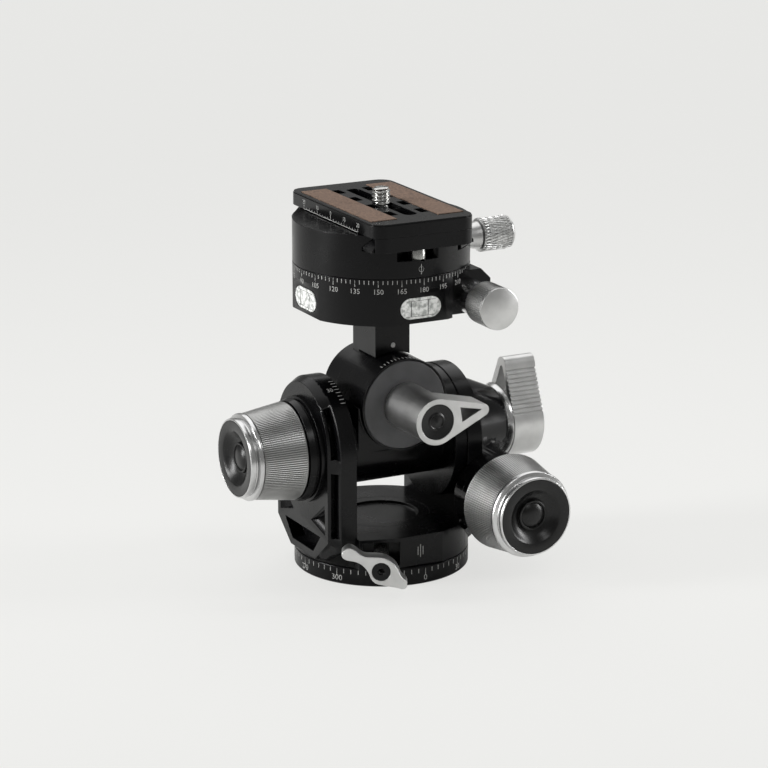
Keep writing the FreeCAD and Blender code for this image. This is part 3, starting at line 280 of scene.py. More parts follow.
def seamless_paper(colour):
    """Matt backdrop paper, which the camera sees as a nearly even tone with a faint shadow under the head."""
    material = plain("seamless_paper", colour, 0.95)
    tree = material.node_tree
    matt, output = tree.nodes["Principled BSDF"], tree.nodes["Material Output"]
    even = add(tree, "ShaderNodeEmission", Color=colour, Strength=1.0)
    seen = add(tree, "ShaderNodeLightPath")
    share = add(tree, "ShaderNodeMath", {"operation": "MULTIPLY"}, Value=seen.outputs["Is Camera Ray"])
    share.inputs[1].default_value = EVEN_SHARE
    both = add(tree, "ShaderNodeMixShader", Fac=share.outputs[0])
    tree.links.new(matt.outputs[0], both.inputs[1])
    tree.links.new(even.outputs[0], both.inputs[2])
    tree.links.new(both.outputs[0], output.inputs["Surface"])
    return material


FINISHES = {}


def finish(name):
    return FINISHES[name]


# Mesh helpers

def towards(direction, at):
    """The matrix that turns local +Z to a direction and moves the origin to a point given in mm."""
    turn = UP.rotation_difference(Vector(direction)).to_matrix().to_4x4()
    return Matrix.Translation(Vector(at) * MM) @ turn


def new_object(name, points, faces, material, matrix=None, smooth_angle=35.0):
    """A mesh object from points in mm. Its place goes into its mesh."""
    mesh = bpy.data.meshes.new(name)
    mesh.from_pydata([tuple(Vector(p) * MM) for p in points], [], faces)
    mesh.materials.append(material)
    item = bpy.data.objects.new(name, mesh)
    bpy.context.scene.collection.objects.link(item)
    return settle(item, matrix, smooth_angle)


def settle(item, matrix=None, smooth_angle=35.0):
    """Applies the modifiers and the place to the mesh and shades it."""
    if item.modifiers or item.type != "MESH":
        graph = bpy.context.evaluated_depsgraph_get()
        mesh = bpy.data.meshes.new_from_object(item.evaluated_get(graph))
        mesh.name = item.name
        if item.type == "MESH":
            item.modifiers.clear()
            item.data = mesh
        else:
            name, old = item.name, item
            bpy.data.objects.remove(old)
            item = bpy.data.objects.new(name, mesh)
            bpy.context.scene.collection.objects.link(item)
    if matrix is not None:
        item.data.transform(matrix)
    item.data.shade_smooth()
    item.data.set_sharp_from_angle(angle=math.radians(smooth_angle))
    item.data.update()
    return item


def turned_mesh(profile, steps):
    """Points and faces of a turned shape. The profile is (radius, height), closed to itself."""
    points, faces = [], []
    count = len(profile)
    for step in range(steps):
        angle = 2 * math.pi * step / steps
        points += [(r * math.cos(angle), r * math.sin(angle), z) for r, z in profile]
    for step in range(steps):
        this, after = step * count, (step + 1) % steps * count
        for k in range(count):
            nxt = (k + 1) % count
            faces.append((this + k, after + k, after + nxt, this + nxt))
    return points, faces


def turned(name, profile, material, matrix, steps=96, smooth_angle=35.0):
    """A turned piece whose profile runs outwards at the bottom and back inwards at the top."""
    inner = 0.02
    profile = [(max(r, inner), z) for r, z in profile]
    points, faces = turned_mesh(profile, steps)
    return new_object(name, points, faces, material, matrix, smooth_angle)


def bar_mesh(half_width, length, height, top_share=0.6):
    """A straight rib along +Z with its foot at radius 0 and its crest at +X."""
    top = half_width * top_share
    section = [(0, -half_width), (height, -top), (height, top), (0, half_width)]
    points = [(x, y, z) for z in (0, length) for x, y in section]
    faces = [(3, 2, 1, 0), (4, 5, 6, 7)] + [(k, (k + 1) % 4, (k + 1) % 4 + 4, k + 4) for k in range(4)]
    return points, faces


def copies_tree():
    """Copies of the object's own mesh, each turned about Z by an equal step."""
    tree = bpy.data.node_groups.new("equal_steps", "GeometryNodeTree")
    face = tree.interface
    face.new_socket("Geometry", in_out="INPUT", socket_type="NodeSocketGeometry")
    face.new_socket("Count", in_out="INPUT", socket_type="NodeSocketInt")
    face.new_socket("First turn", in_out="INPUT", socket_type="NodeSocketFloat")
    face.new_socket("Turn step", in_out="INPUT", socket_type="NodeSocketFloat")
    face.new_socket("Material", in_out="INPUT", socket_type="NodeSocketMaterial")
    face.new_socket("Geometry", in_out="OUTPUT", socket_type="NodeSocketGeometry")
    entry = add(tree, "NodeGroupInput")
    index = add(tree, "GeometryNodeInputIndex").outputs[0]
    spots = add(tree, "GeometryNodePoints", Count=entry.outputs["Count"]).outputs[0]
    turn = add(tree, "ShaderNodeMath", {"operation": "MULTIPLY_ADD"}, _0=index, _1=entry.outputs["Turn step"],
               _2=entry.outputs["First turn"]).outputs[0]
    angles = add(tree, "ShaderNodeCombineXYZ", Z=turn).outputs[0]
    rotation = add(tree, "FunctionNodeEulerToRotation", _0=angles).outputs[0]
    copies = add(tree, "GeometryNodeInstanceOnPoints", Points=spots, Instance=entry.outputs["Geometry"],
                 Rotation=rotation).outputs[0]
    real = add(tree, "GeometryNodeRealizeInstances", Geometry=copies).outputs[0]
    coated = add(tree, "GeometryNodeSetMaterial", Geometry=real,
                 Material=entry.outputs["Material"]).outputs[0]
    leave = add(tree, "NodeGroupOutput")
    tree.links.new(coated, leave.inputs["Geometry"])
    return tree


def repeat(name, mesh_data, count, material, first_turn=0.0, turn_step=0.0, matrix=None):
    """Copies a small mesh with Geometry Nodes and settles the result as one mesh. Turns are in degrees."""
    points, faces = mesh_data
    mesh = bpy.data.meshes.new(name)
    mesh.from_pydata([tuple(Vector(p) * MM) for p in points], [], faces)
    item = bpy.data.objects.new(name, mesh)
    bpy.context.scene.collection.objects.link(item)
    tree = bpy.data.node_groups.get("equal_steps") or copies_tree()
    modifier = item.modifiers.new("copies", "NODES")
    modifier.node_group = tree
    values = {
        "Count": count, "First turn": math.radians(first_turn), "Turn step": math.radians(turn_step),
        "Material": material}
    for socket in tree.interface.items_tree:
        if socket.in_out == "INPUT" and socket.name in values:
            modifier[socket.identifier] = values[socket.name]
    return settle(item, matrix)


def brick(low, high):
    """Points and faces of a box between two corners."""
    points = [(x, y, z) for z in (low[2], high[2]) for y in (low[1], high[1]) for x in (low[0], high[0])]
    faces = [(0, 2, 3, 1), (4, 5, 7, 6), (0, 1, 5, 4), (2, 6, 7, 3), (0, 4, 6, 2), (1, 3, 7, 5)]
    return points, faces


def join(name, items, body):
    """Joins pieces of one finish into one object that rides on a body."""
    bpy.ops.object.select_all(action="DESELECT")
    for item in items:
        item.select_set(True)
    bpy.context.view_layer.objects.active = items[0]
    bpy.ops.object.join()
    items[0].name = name
    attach(items[0], body)
    return items[0]


def wrapped_text(name, text, height, radius, degrees, level, depth):
    """A number bent round a standing cylinder, centred at an angle counted from the front to the right."""
    curve = bpy.data.curves.new(name, "FONT")
    curve.body = text
    curve.size = height * 1.38 * MM
    curve.align_x = "CENTER"
    curve.extrude = depth * MM / 2
    curve.resolution_u = 3
    item = curve_object(name, curve)
    for vertex in item.data.vertices:
        angle = math.radians(degrees) + vertex.co.x / (radius * MM)
        out = radius * MM + vertex.co.z + depth * MM / 2
        vertex.co = (out * math.sin(angle), -out * math.cos(angle), level * MM + vertex.co.y)
    item.data.materials.append(finish("ink"))
    return item


def curve_object(name, curve):
    holder = bpy.data.objects.new(name, curve)
    bpy.context.scene.collection.objects.link(holder)
    bpy.context.view_layer.update()
    return settle(holder, None, 30.0)


def flat_text(name, text, height, matrix, depth):
    """A number lying on a flat face: its own plane is local XY."""
    curve = bpy.data.curves.new(name, "FONT")
    curve.body = text
    curve.size = height * 1.38 * MM
    curve.align_x = "CENTER"
    curve.extrude = depth * MM / 2
    curve.resolution_u = 3
    item = curve_object(name, curve)
    item.data.materials.append(finish("ink"))
    item.data.transform(matrix)
    return item


def arc(centre, radius, start, end, steps=10):
    """Points along an arc, from one angle to another in degrees."""
    angles = [math.radians(start + (end - start) * k / steps) for k in range(steps + 1)]
    return [(centre[0] + radius * math.cos(a), centre[1] + radius * math.sin(a)) for a in angles]


def rounded_loop(centre, half_x, half_y, radius):
    """A rectangle with round corners."""
    loop = []
    for turn, (sign_x, sign_y) in enumerate(((1, 1), (-1, 1), (-1, -1), (1, -1))):
        corner = (centre[0] + sign_x * (half_x - radius), centre[1] + sign_y * (half_y - radius))
        loop += arc(corner, radius, turn * 90, turn * 90 + 90, 5)
    return loop


def sheet(name, loops, low, high, material, matrix=None):
    """A flat piece between two heights: the first loop is its outline and the others are holes in it."""
    curve = bpy.data.curves.new(name, "CURVE")
    curve.dimensions = "2D"
    curve.fill_mode = "BOTH"
    curve.extrude = (high - low) / 2 * MM
    for loop in loops:
        spline = curve.splines.new("POLY")
        spline.points.add(len(loop) - 1)
        for point, (x, y) in zip(spline.points, loop):
            point.co = (x * MM, y * MM, 0, 1)
        spline.use_cyclic_u = True
    item = curve_object(name, curve)
    item.data.materials.clear()
    item.data.materials.append(material)
    tidy = bmesh.new()
    tidy.from_mesh(item.data)
    bmesh.ops.remove_doubles(tidy, verts=tidy.verts, dist=1e-7)
    bmesh.ops.recalc_face_normals(tidy, faces=tidy.faces)
    tidy.to_mesh(item.data)
    tidy.free()
    item.data.transform(Matrix.Translation((0, 0, (low + high) / 2 * MM)))
    return settle(item, matrix, 30.0)


def reshaped(node, change):
    """A copy of a CAD solid whose corners are each moved by a rule given in mm."""
    mesh = frame["nodes"][node].data.copy()
    mesh.name = node + "_shape"
    item = bpy.data.objects.new(node + "_shape", mesh)
    bpy.context.scene.collection.objects.link(item)
    work = bmesh.new()
    work.from_mesh(mesh)
    bmesh.ops.remove_doubles(work, verts=work.verts, dist=1e-7)
    for vertex in work.verts:
        vertex.co = change(vertex.co / MM) * MM
    bmesh.ops.dissolve_limit(work, angle_limit=0.002, verts=work.verts, edges=work.edges)
    work.to_mesh(mesh)
    work.free()
    return item


def subtract(item, cutter):
    """Cuts one closed mesh out of another."""
    modifier = item.modifiers.new("cut", "BOOLEAN")
    modifier.object = cutter
    modifier.operation = "DIFFERENCE"
    modifier.solver = "EXACT"
    item = settle(item)
    bpy.data.objects.remove(cutter)
    return item


def round_wall(item, radius):
    """Shades a wall round the pan axis as truly round and every other face as flat."""
    mesh, normals = item.data, []
    for face in mesh.polygons:
        for loop in face.loop_indices:
            spot = mesh.vertices[mesh.loops[loop].vertex_index].co
            arm = Vector((spot.x, spot.y, 0))
            on_wall = abs(face.normal.z) < 0.05 and abs(arm.length / MM - radius) < 0.02
            normals.append(arm.normalized() if on_wall else face.normal.copy())
    mesh.shade_smooth()
    mesh.normals_split_custom_set(normals)
    return item


def evened(item):
    """Shades by face area, so that flat faces stay flat beside small ones."""
    settle(item)
    item.modifiers.new("area", "WEIGHTED_NORMAL").keep_sharp = True
    graph = bpy.context.evaluated_depsgraph_get()
    mesh = bpy.data.meshes.new_from_object(item.evaluated_get(graph))
    mesh.name = item.name
    item.modifiers.clear()
    item.data = mesh
    return item


def stand_in(piece, body, node):
    """The piece rides on a body and takes a CAD node's place in the picture."""
    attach(piece, body)
    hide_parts(node)
    return piece


def face_matrix(at, across, up):
    """Local X along across, local Y along up, local Z out of the face."""
    across, up = Vector(across).normalized(), Vector(up).normalized()
    out = across.cross(up)
    turn = Matrix((across, up, out)).transposed().to_4x4()
    return Matrix.Translation(Vector(at) * MM) @ turn


# Operators

class HEAD_OT_finishes(bpy.types.Operator):
    """Make the finishes and give each part of the head its own"""
    bl_idname = "head.finishes"
    bl_label = "Finishes"

    def execute(self, context):
        colours = context.scene.head_colours
        FINISHES.update(
            black=hard_anodised("hard_anodised_aluminium", colours.black, 0.25),
            gloss=hard_anodised("polished_black_aluminium", colours.gloss, 0.14),
            # painted reflection: a grey base on the roll front cover stands in for the pale floor mirrored in
            # its front face
            satin=hard_anodised("satin_black_aluminium", linear("#4a4a4b"), 0.36),
            clear=clear_anodised("clear_anodised_aluminium", colours.clear, 0.34),
            ribbed=clear_anodised("knurled_aluminium", colours.clear, 0.32, edge_mm=0),
            # painted shade: a darker grey for the floor between a knob's ribs, standing in for the shade
            # inside the grooves
            groove=clear_anodised("knurled_aluminium_groove", linear("#8f8f8e"), 0.45, edge_mm=0),
            bright=clear_anodised("polished_aluminium", linear("#d2d2d2"), 0.22, 0.001, 0.12),
            steel=clear_anodised("machined_stainless_steel", linear("#bfbfbc"), 0.26, 0.003),
            bronze=bronze(),
            acetal=acetal("moulded_acetal", linear("#070707"), 0.3),
            vial=vial_acrylic(),
            cork=cork_rubber(colours.cork),
            ink=ink(colours.ink),
            # near-black matt: the real ink of the level lines, and painted shade in the plate's channel floor
            # and the screw's slot
            dark=plain("level_print_and_painted_recess_shade", "#050505", 0.8),
        )
        special = {
            "tilt_gear_housing": "gloss", "tilt_boss_ring": "gloss", "roll_boss_ring": "black",
            "tilt_knob_cap": "acetal", "roll_knob_cap": "acetal", "roll_release_cap": "acetal",
            "roll_front_cover": "satin", "pan_neck": "bright", "release_collar": "bright",
            "pan_lock_button": "black",
            "camera_screw": "steel", "plate_stop_screw": "steel",
        }
        by_slot = {
            "black_aluminium": "black", "grey_aluminium": "clear", "bright_aluminium": "bright",
            "stainless": "steel", "bronze": "bronze", "black_plastic": "acetal", "level_vial": "vial",
            "cork_rubber": "cork"}
        slots = {part["node"]: part["material_slot"] for part in frame["record"]["subparts"]}
        for node, item in frame["nodes"].items():
            item.data.materials.clear()
            item.data.materials.append(finish(special.get(node) or by_slot[slots[node]]))
        return {"FINISHED"}


class HEAD_OT_gear_knobs(bpy.types.Operator):
    """Ribbed grips with a polished bead and rim"""
    bl_idname = "head.gear_knobs"
    bl_label = "Gear knobs"

    def execute(self, context):
        sizes = context.scene.head_sizes
        for node, body, direction in (("tilt_knob", "tilt_drive", FRONT), ("roll_knob", "roll_drive", LEFT)):
            low, high = box(node)
            centre = (low + high) / 2
            length = (high - low).dot(Vector([abs(c) for c in direction]))
            seat = centre - direction * (length / 2)
            radius = max((high - low)) / 2
            nose, depth = radius - 2.1, sizes.rib_depth
            grip = length - 4.4
            place = towards(direction, seat)
            # the shell between the ribs takes the darker grey of the painted groove shade
            shell = turned(node + "_shell", [
                (3.1, 8.0), (11.0, 8.0), (radius - 2.4, 0.05), (radius - 0.7, 0), (radius - 0.15, 0.25),
                (radius - depth, 0.9), (nose - depth, grip - 0.3), (nose - 0.4, grip),
                (nose - 0.5, grip + 0.4)],
                finish("groove"), place, 128)
            rib_foot = bar_mesh(0.27, grip - 1.0, depth)
            slope = (nose - radius) / (grip - 0.9)
            points = [(x + radius - depth + slope * z - 0.02, y * (1 - 0.1 * z / grip), z + 0.7)
                      for x, y, z in rib_foot[0]]
            ribs = repeat(node + "_ribs", (points, rib_foot[1]), sizes.rib_count, finish("ribbed"),
                          turn_step=360 / sizes.rib_count, matrix=place)
            bead, rim, cap = nose + 0.18, nose - 1.15, nose - 1.8
            trim = turned(node + "_bead", [
                (nose - 0.6, grip - 0.05), (bead - 0.25, grip - 0.05), (bead, grip + 0.25),
                (bead, grip + 1.1),
                (bead - 0.25, grip + 1.5), (rim - 0.4, grip + 1.9), (rim - 0.45, grip + 2.3),
                (rim - 0.05, grip + 2.6),
                (rim, grip + 2.9), (rim, length - 0.5), (rim - 0.15, length - 0.12), (rim - 0.4, length),
                (cap + 0.04, length), (cap + 0.02, length - 0.3), (cap + 0.02, length - 4.2),
                (3.1, length - 4.2)],
                finish("bright"), place, 128)
            for piece in (shell, ribs, trim):
                stand_in(piece, body, node)
            face = length - 0.05
            dish = turned(node + "_dish", [
                (0, face - 4), (cap - 0.6, face - 4), (cap, face - 3), (cap, face - 0.2), (cap - 0.2, face),
                (9.7, face), (9.4, face - 0.15), (8.6, face - 0.9), (7.4, face - 1.9), (6.2, face - 2.5),
                (5.3, face - 2.75),
                (5.15, face - 1.9), (4.85, face - 1.75), (4.5, face - 1.85), (4.3, face - 2.3),
                (3.6, face - 1.75),
                (2.6, face - 1.35), (1.4, face - 1.12), (0, face - 1.05)], finish("acetal"), place, 96, 40.0)
            stand_in(dish, body, node + "_cap")
        return {"FINISHED"}


class HEAD_OT_small_knobs(bpy.types.Operator):
    """Knurled sleeves on the pan knob and the clamp knob"""
    bl_idname = "head.small_knobs"
    bl_label = "Small knobs"

    def execute(self, context):
        sizes = context.scene.head_sizes
        count = sizes.knurl_count
        low, high = box("pan_knob")
        centre, radius = (low + high) / 2, (high.x - low.x) / 2
        place = towards(FRONT, (centre.x, high.y, centre.z))
        length = high.y - low.y
        core = turned("pan_knob_core", [
            (3.05, 0), (radius - 0.7, 0), (radius - 0.3, 0.4), (radius - 0.3, length - 0.9),
            (radius - 0.05, length - 0.6),
            (radius - 0.1, length - 0.15), (radius - 0.35, length), (0.02, length), (0.02, length - 2)],
            finish("clear"), place)
        bar = bar_mesh(0.17, length - 1.7, 0.3, 0.4)
        points = [(x + radius - 0.32, y, z + 0.6) for x, y, z in bar[0]]
        ribs = repeat("pan_knob_ribs", (points, bar[1]), count, finish("ribbed"), turn_step=360 / count,
                      matrix=place)
        for piece in (core, ribs):
            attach(piece, "pan_drive")
            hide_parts("pan_knob")
        low, high = box("clamp_knob")
        centre, radius = (low + high) / 2, (high.z - low.z) / 2
        place = towards(RIGHT, (low.x, centre.y, centre.z))
        length, shoulder = high.x - low.x - 2.2, 6.8
        body = turned("clamp_knob_core", [
            (2.52, 0), (3.6, 0), (3.9, 0.3), (3.9, 1.8), (radius - 1.0, shoulder - 0.5),
            (radius - 0.35, shoulder),
            (radius - 0.35, length - 1.5), (radius - 0.1, length - 1.3), (radius - 0.2, length - 0.8),
            (radius - 1.0, length - 0.1), (radius - 1.4, length), (0.02, length), (0.02, length - 3)],
            finish("clear"), place)
        grip = length - shoulder - 1.8
        bar = bar_mesh(0.2, grip, 0.34, 0.3)
        leaves = []
        for lean in (-1, 1):
            leaned = [(x + radius - 0.37, y + lean * (z - grip / 2) * 0.22, z + shoulder + 0.3) for x, y,
                      z in bar[0]]
            leaves.append(repeat("clamp_knob_knurl", (leaned, bar[1]), count // 2, finish("ribbed"),
                                 turn_step=720 / count, matrix=place))
        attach(body, "clamp_drive")
        knurl = join("clamp_knob_knurl", leaves, "clamp_drive")
        for piece in (body, knurl):
            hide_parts("clamp_knob")
        return {"FINISHED"}


class HEAD_OT_outlines(bpy.types.Operator):
    """The real outlines of the key, plate, stop, gear case, arch and carriage"""
    bl_idname = "head.outlines"
    bl_label = "Outlines"

    def execute(self, context):
        self.gear_case()
        self.arch_and_flange()
        self.release_key()
        self.plate()
        self.stop()
        self.lock_lever()
        self.lowered_levels()
        return {"FINISHED"}

    def gear_case(self):
        low, high = box("tilt_worm")
        centre = (low + high) / 2
        case, slim = 17.0, 14.6

        def narrow(corner):
            arm = Vector((corner.x - centre.x, 0, corner.z - centre.z))
            if abs(arm.length - case) < 0.05:
                return corner - arm * (1 - slim / case)
            return corner

        stand_in(evened(reshaped("tilt_gear_housing", narrow)), "yoke", "tilt_gear_housing")
        low, high = box("tilt_boss_ring")
        ring = turned("tilt_boss_turned", [
            (3.3, 0), (slim, 0), (slim + 0.3, 0.3), (slim + 0.3, high.y - low.y), (3.3, high.y - low.y)],
            finish("gloss"),
            towards(FRONT, (centre.x, high.y, centre.z)))
        stand_in(ring, "yoke", "tilt_boss_ring")

    def arch_and_flange(self):
        high = box("left_upright")[1]
        axis, crown = 44.0, 68.8

        def raise_arch(corner):
            if corner.z <= axis:
                return corner
            return Vector((corner.x, corner.y, axis + (corner.z - axis) * (crown - axis) / (high.z - axis)))

        def trim_flange(corner):
            arm = Vector((0, corner.y, corner.z - axis))
            if corner.x < -16.4 and arm.length > 15:
                return corner - arm * (1 - 15 / arm.length)
            return corner

        stand_in(evened(reshaped("left_upright", raise_arch)), "yoke", "left_upright")
        stand_in(evened(reshaped("tilt_carriage", trim_flange)), "tilt", "tilt_carriage")

    def release_key(self):
        low, high = box("tilt_release_key")
        axis, radius, tip = 44.0, 13.2, 3.0
        apex = (-3.2, axis + 20.3)
        foot = (-radius * 0.96, axis + radius * 0.28)
        edge = Vector((apex[0] - tip, apex[1] - 0.6))
        along = Vector(foot) - edge
        inward = Vector((-along.y, along.x)).normalized()
        if inward.x < 0:
            inward.negate()
        outline = [(radius * 0.34, axis + radius * 0.82)] + arc(apex, tip, 10, 172)
        count, width, depth = 11, 0.7, 0.6
        for index in range(count):
            middle = edge + along * ((index + 0.6) / (count + 0.4))
            half = along.normalized() * width / 2
            for corner in (middle - half, middle - half * 0.7 + inward * depth,
                           middle + half * 0.7 + inward * depth,
                           middle + half):
                outline.append(tuple(corner))
        outline += arc((0, axis), radius, 163.7, 427.4, 60)
        window = arc((apex[0], apex[1] - 1.0), 0.9, 20, 160, 6) + [(-7.9, 53.9), (-7.4, 53.5), (1.7, 53.5),
                                                                   (2.1, 53.9)]
        place = Matrix(((0, 0, 1, 0), (1, 0, 0, 0), (0, 1, 0, 0), (0, 0, 0, 1)))
        key = sheet("tilt_release_blade", [outline, window], low.x, high.x, finish("clear"), place)
        stand_in(key, "tilt_key", "tilt_release_key")
        low, high = box("release_collar")
        neck = turned("release_collar_cone", [
            (3.7, 0), (11.6, 0), (11.9, 0.3), (12.9, 2.0), (12.9, 2.25), (3.7, 2.25)], finish("bright"),
            towards(RIGHT, (low.x, 0, axis)))
        stand_in(neck, "yoke", "release_collar")

    def plate(self):
        low, high = box("quick_release_plate")
        half_x, half_y, top = (high.x - low.x) / 2, (high.y - low.y) / 2, high.z
        thick, pitch = 4.6, 12.6
        holes = [rounded_loop((0, 0), 2.4, 22.5, 2.2)]
        for side in (-1, 1):
            for step in (-1.5, -0.5, 0.5, 1.5):
                holes.append(rounded_loop((side * 5.7, 1.2 + pitch * step), 1.5, 2.9, 0.6))
        black = finish("black")
        top_sheet = sheet("plate_top", [rounded_loop((0, 0), half_x, half_y, 4.8)] + holes, top - thick,
                          top - 0.5, black)
        strips = [rounded_loop((side * 12.4, 0), 4.9, 26.1, 0.4) for side in (-1, 1)]
        face = sheet("plate_face", [rounded_loop((0, 0), half_x - 0.25, half_y - 0.25, 4.6)] + holes + strips,
                     top - 0.6, top, black)
        rails = []
        for side in (-1, 1):
            rail = [(side * x, z) for x,
                    z in ((7.8, low.z), (18.9, low.z), (18.9, low.z + 1.0), (16.1, low.z + 3.8),
                                               (16.1, top - thick + 0.2), (7.8, top - thick + 0.2))]
            rails.append(sheet("plate_rail", [rail], -half_y + 2.4, half_y - 2.4, black,
                               Matrix.Rotation(math.radians(90), 4, "X")))
        # painted shade: a near-black floor in the channel between the plate's rails
        floor = new_object("plate_floor", *brick((-8, -half_y + 2.4, low.z), (8, half_y - 2.4, low.z + 0.4)),
                           finish("dark"))
        corner, drop, wall = 4.8, 9.6, 2.0
        cut_angle = math.degrees(math.asin((corner - wall) / corner))
        front = arc((-half_x + corner, -half_y + corner), corner, 180 + cut_angle, 270)
        front += arc((half_x - corner, -half_y + corner), corner, 270, 360 - cut_angle)
        lip = sheet("plate_lip", [front], top - drop, top - thick, black)
        for piece in [top_sheet, face, floor, lip] + rails:
            stand_in(piece, "plate", "quick_release_plate")

    def lock_lever(self):
        """The lock lever's flowing outline, on the plane that faces out from the pan axis."""
        bends = [
            (-13.2, 18.6), (-10.2, 20.6), (-6.3, 16.9), (-2.4, 16.9), (1.4, 16.6), (5.0, 14.0), (6.2, 10.2),
            (8.7, 8.4),
            (8.0, 5.8), (5.0, 6.7), (1.4, 7.2), (-2.8, 8.2), (-4.2, 12.6), (-7.4, 15.6), (-12.4, 16.2)]
        curve = bpy.data.curves.new("lock_lever_outline", "CURVE")
        curve.dimensions = "2D"
        curve.fill_mode = "BOTH"
        curve.extrude = 2.45 * MM
        curve.bevel_depth = 0.2 * MM
        curve.bevel_resolution = 2
        curve.resolution_u = 8
        spline = curve.splines.new("NURBS")
        spline.points.add(len(bends) - 1)
        for point, (across, level) in zip(spline.points, bends):
            point.co = (across * MM, level * MM, 0, 1)
        spline.order_u = 3
        spline.use_cyclic_u = True
        seat = arc((0, 12), 3.3, 0, 345, 23)
        hole = curve.splines.new("POLY")
        hole.points.add(len(seat) - 1)
        for point, (across, level) in zip(hole.points, seat):
            point.co = (across * MM, level * MM, 0, 1)
        hole.use_cyclic_u = True
        lever = curve_object("lock_lever_outline", curve)
        lever.data.materials.clear()
        lever.data.materials.append(finish("clear"))
        turn = Matrix.Rotation(math.radians(-27.5), 4, "Z")
        lever.data.transform(turn @ face_matrix((0, -46.4, 0), (1, 0, 0), UP))
        stand_in(lever, "pan_lock", "pan_lock_lever")

    def lowered_levels(self):
        """Both levels and their pockets a little lower and narrower than the solids."""
        middle, drop, narrower, lower = 97.3, 1.3, 0.94, 0.9

        def pocket(corner):
            for along, out in ((0, 1), (1, 0)):
                if corner[out] < -26.4 and abs(corner[along]) < 8.3 and abs(corner.z - middle) < 4.2:
                    moved = corner.copy()
                    moved[along] = corner[along] * narrower
                    moved.z = middle - drop + (corner.z - middle) * lower
                    return moved
            return corner

        stand_in(round_wall(reshaped("pan_drum", pocket), 30.0), "roll", "pan_drum")
        for node in ("front_level", "left_level"):
            stand_in(evened(reshaped(node, pocket)), "roll", node)

    def stop(self):
        """The recess in the front of the clamp drum, with the upright stop button in it."""
        low, high = box("clamp_drum")
        radius, floor = (high.y - low.y) / 2, 112.6
        drum = reshaped("clamp_drum", lambda corner: corner)
        room = new_object("stop_room", *brick((-9, low.y - 1, floor), (6, low.y + 7, high.z + 1)),
                          finish("black"))
        stand_in(round_wall(subtract(drum, room), radius), "clamp", "clamp_drum")
        button = turned("stop_button", [
            (0, 0), (2.9, 0), (2.9, 3.2), (2.6, 3.7), (0, 3.7)], finish("steel"),
            Matrix.Translation(Vector((-0.4, -radius + 3.6, floor)) * MM), 48)
        stand_in(button, "clamp", "plate_stop_screw")


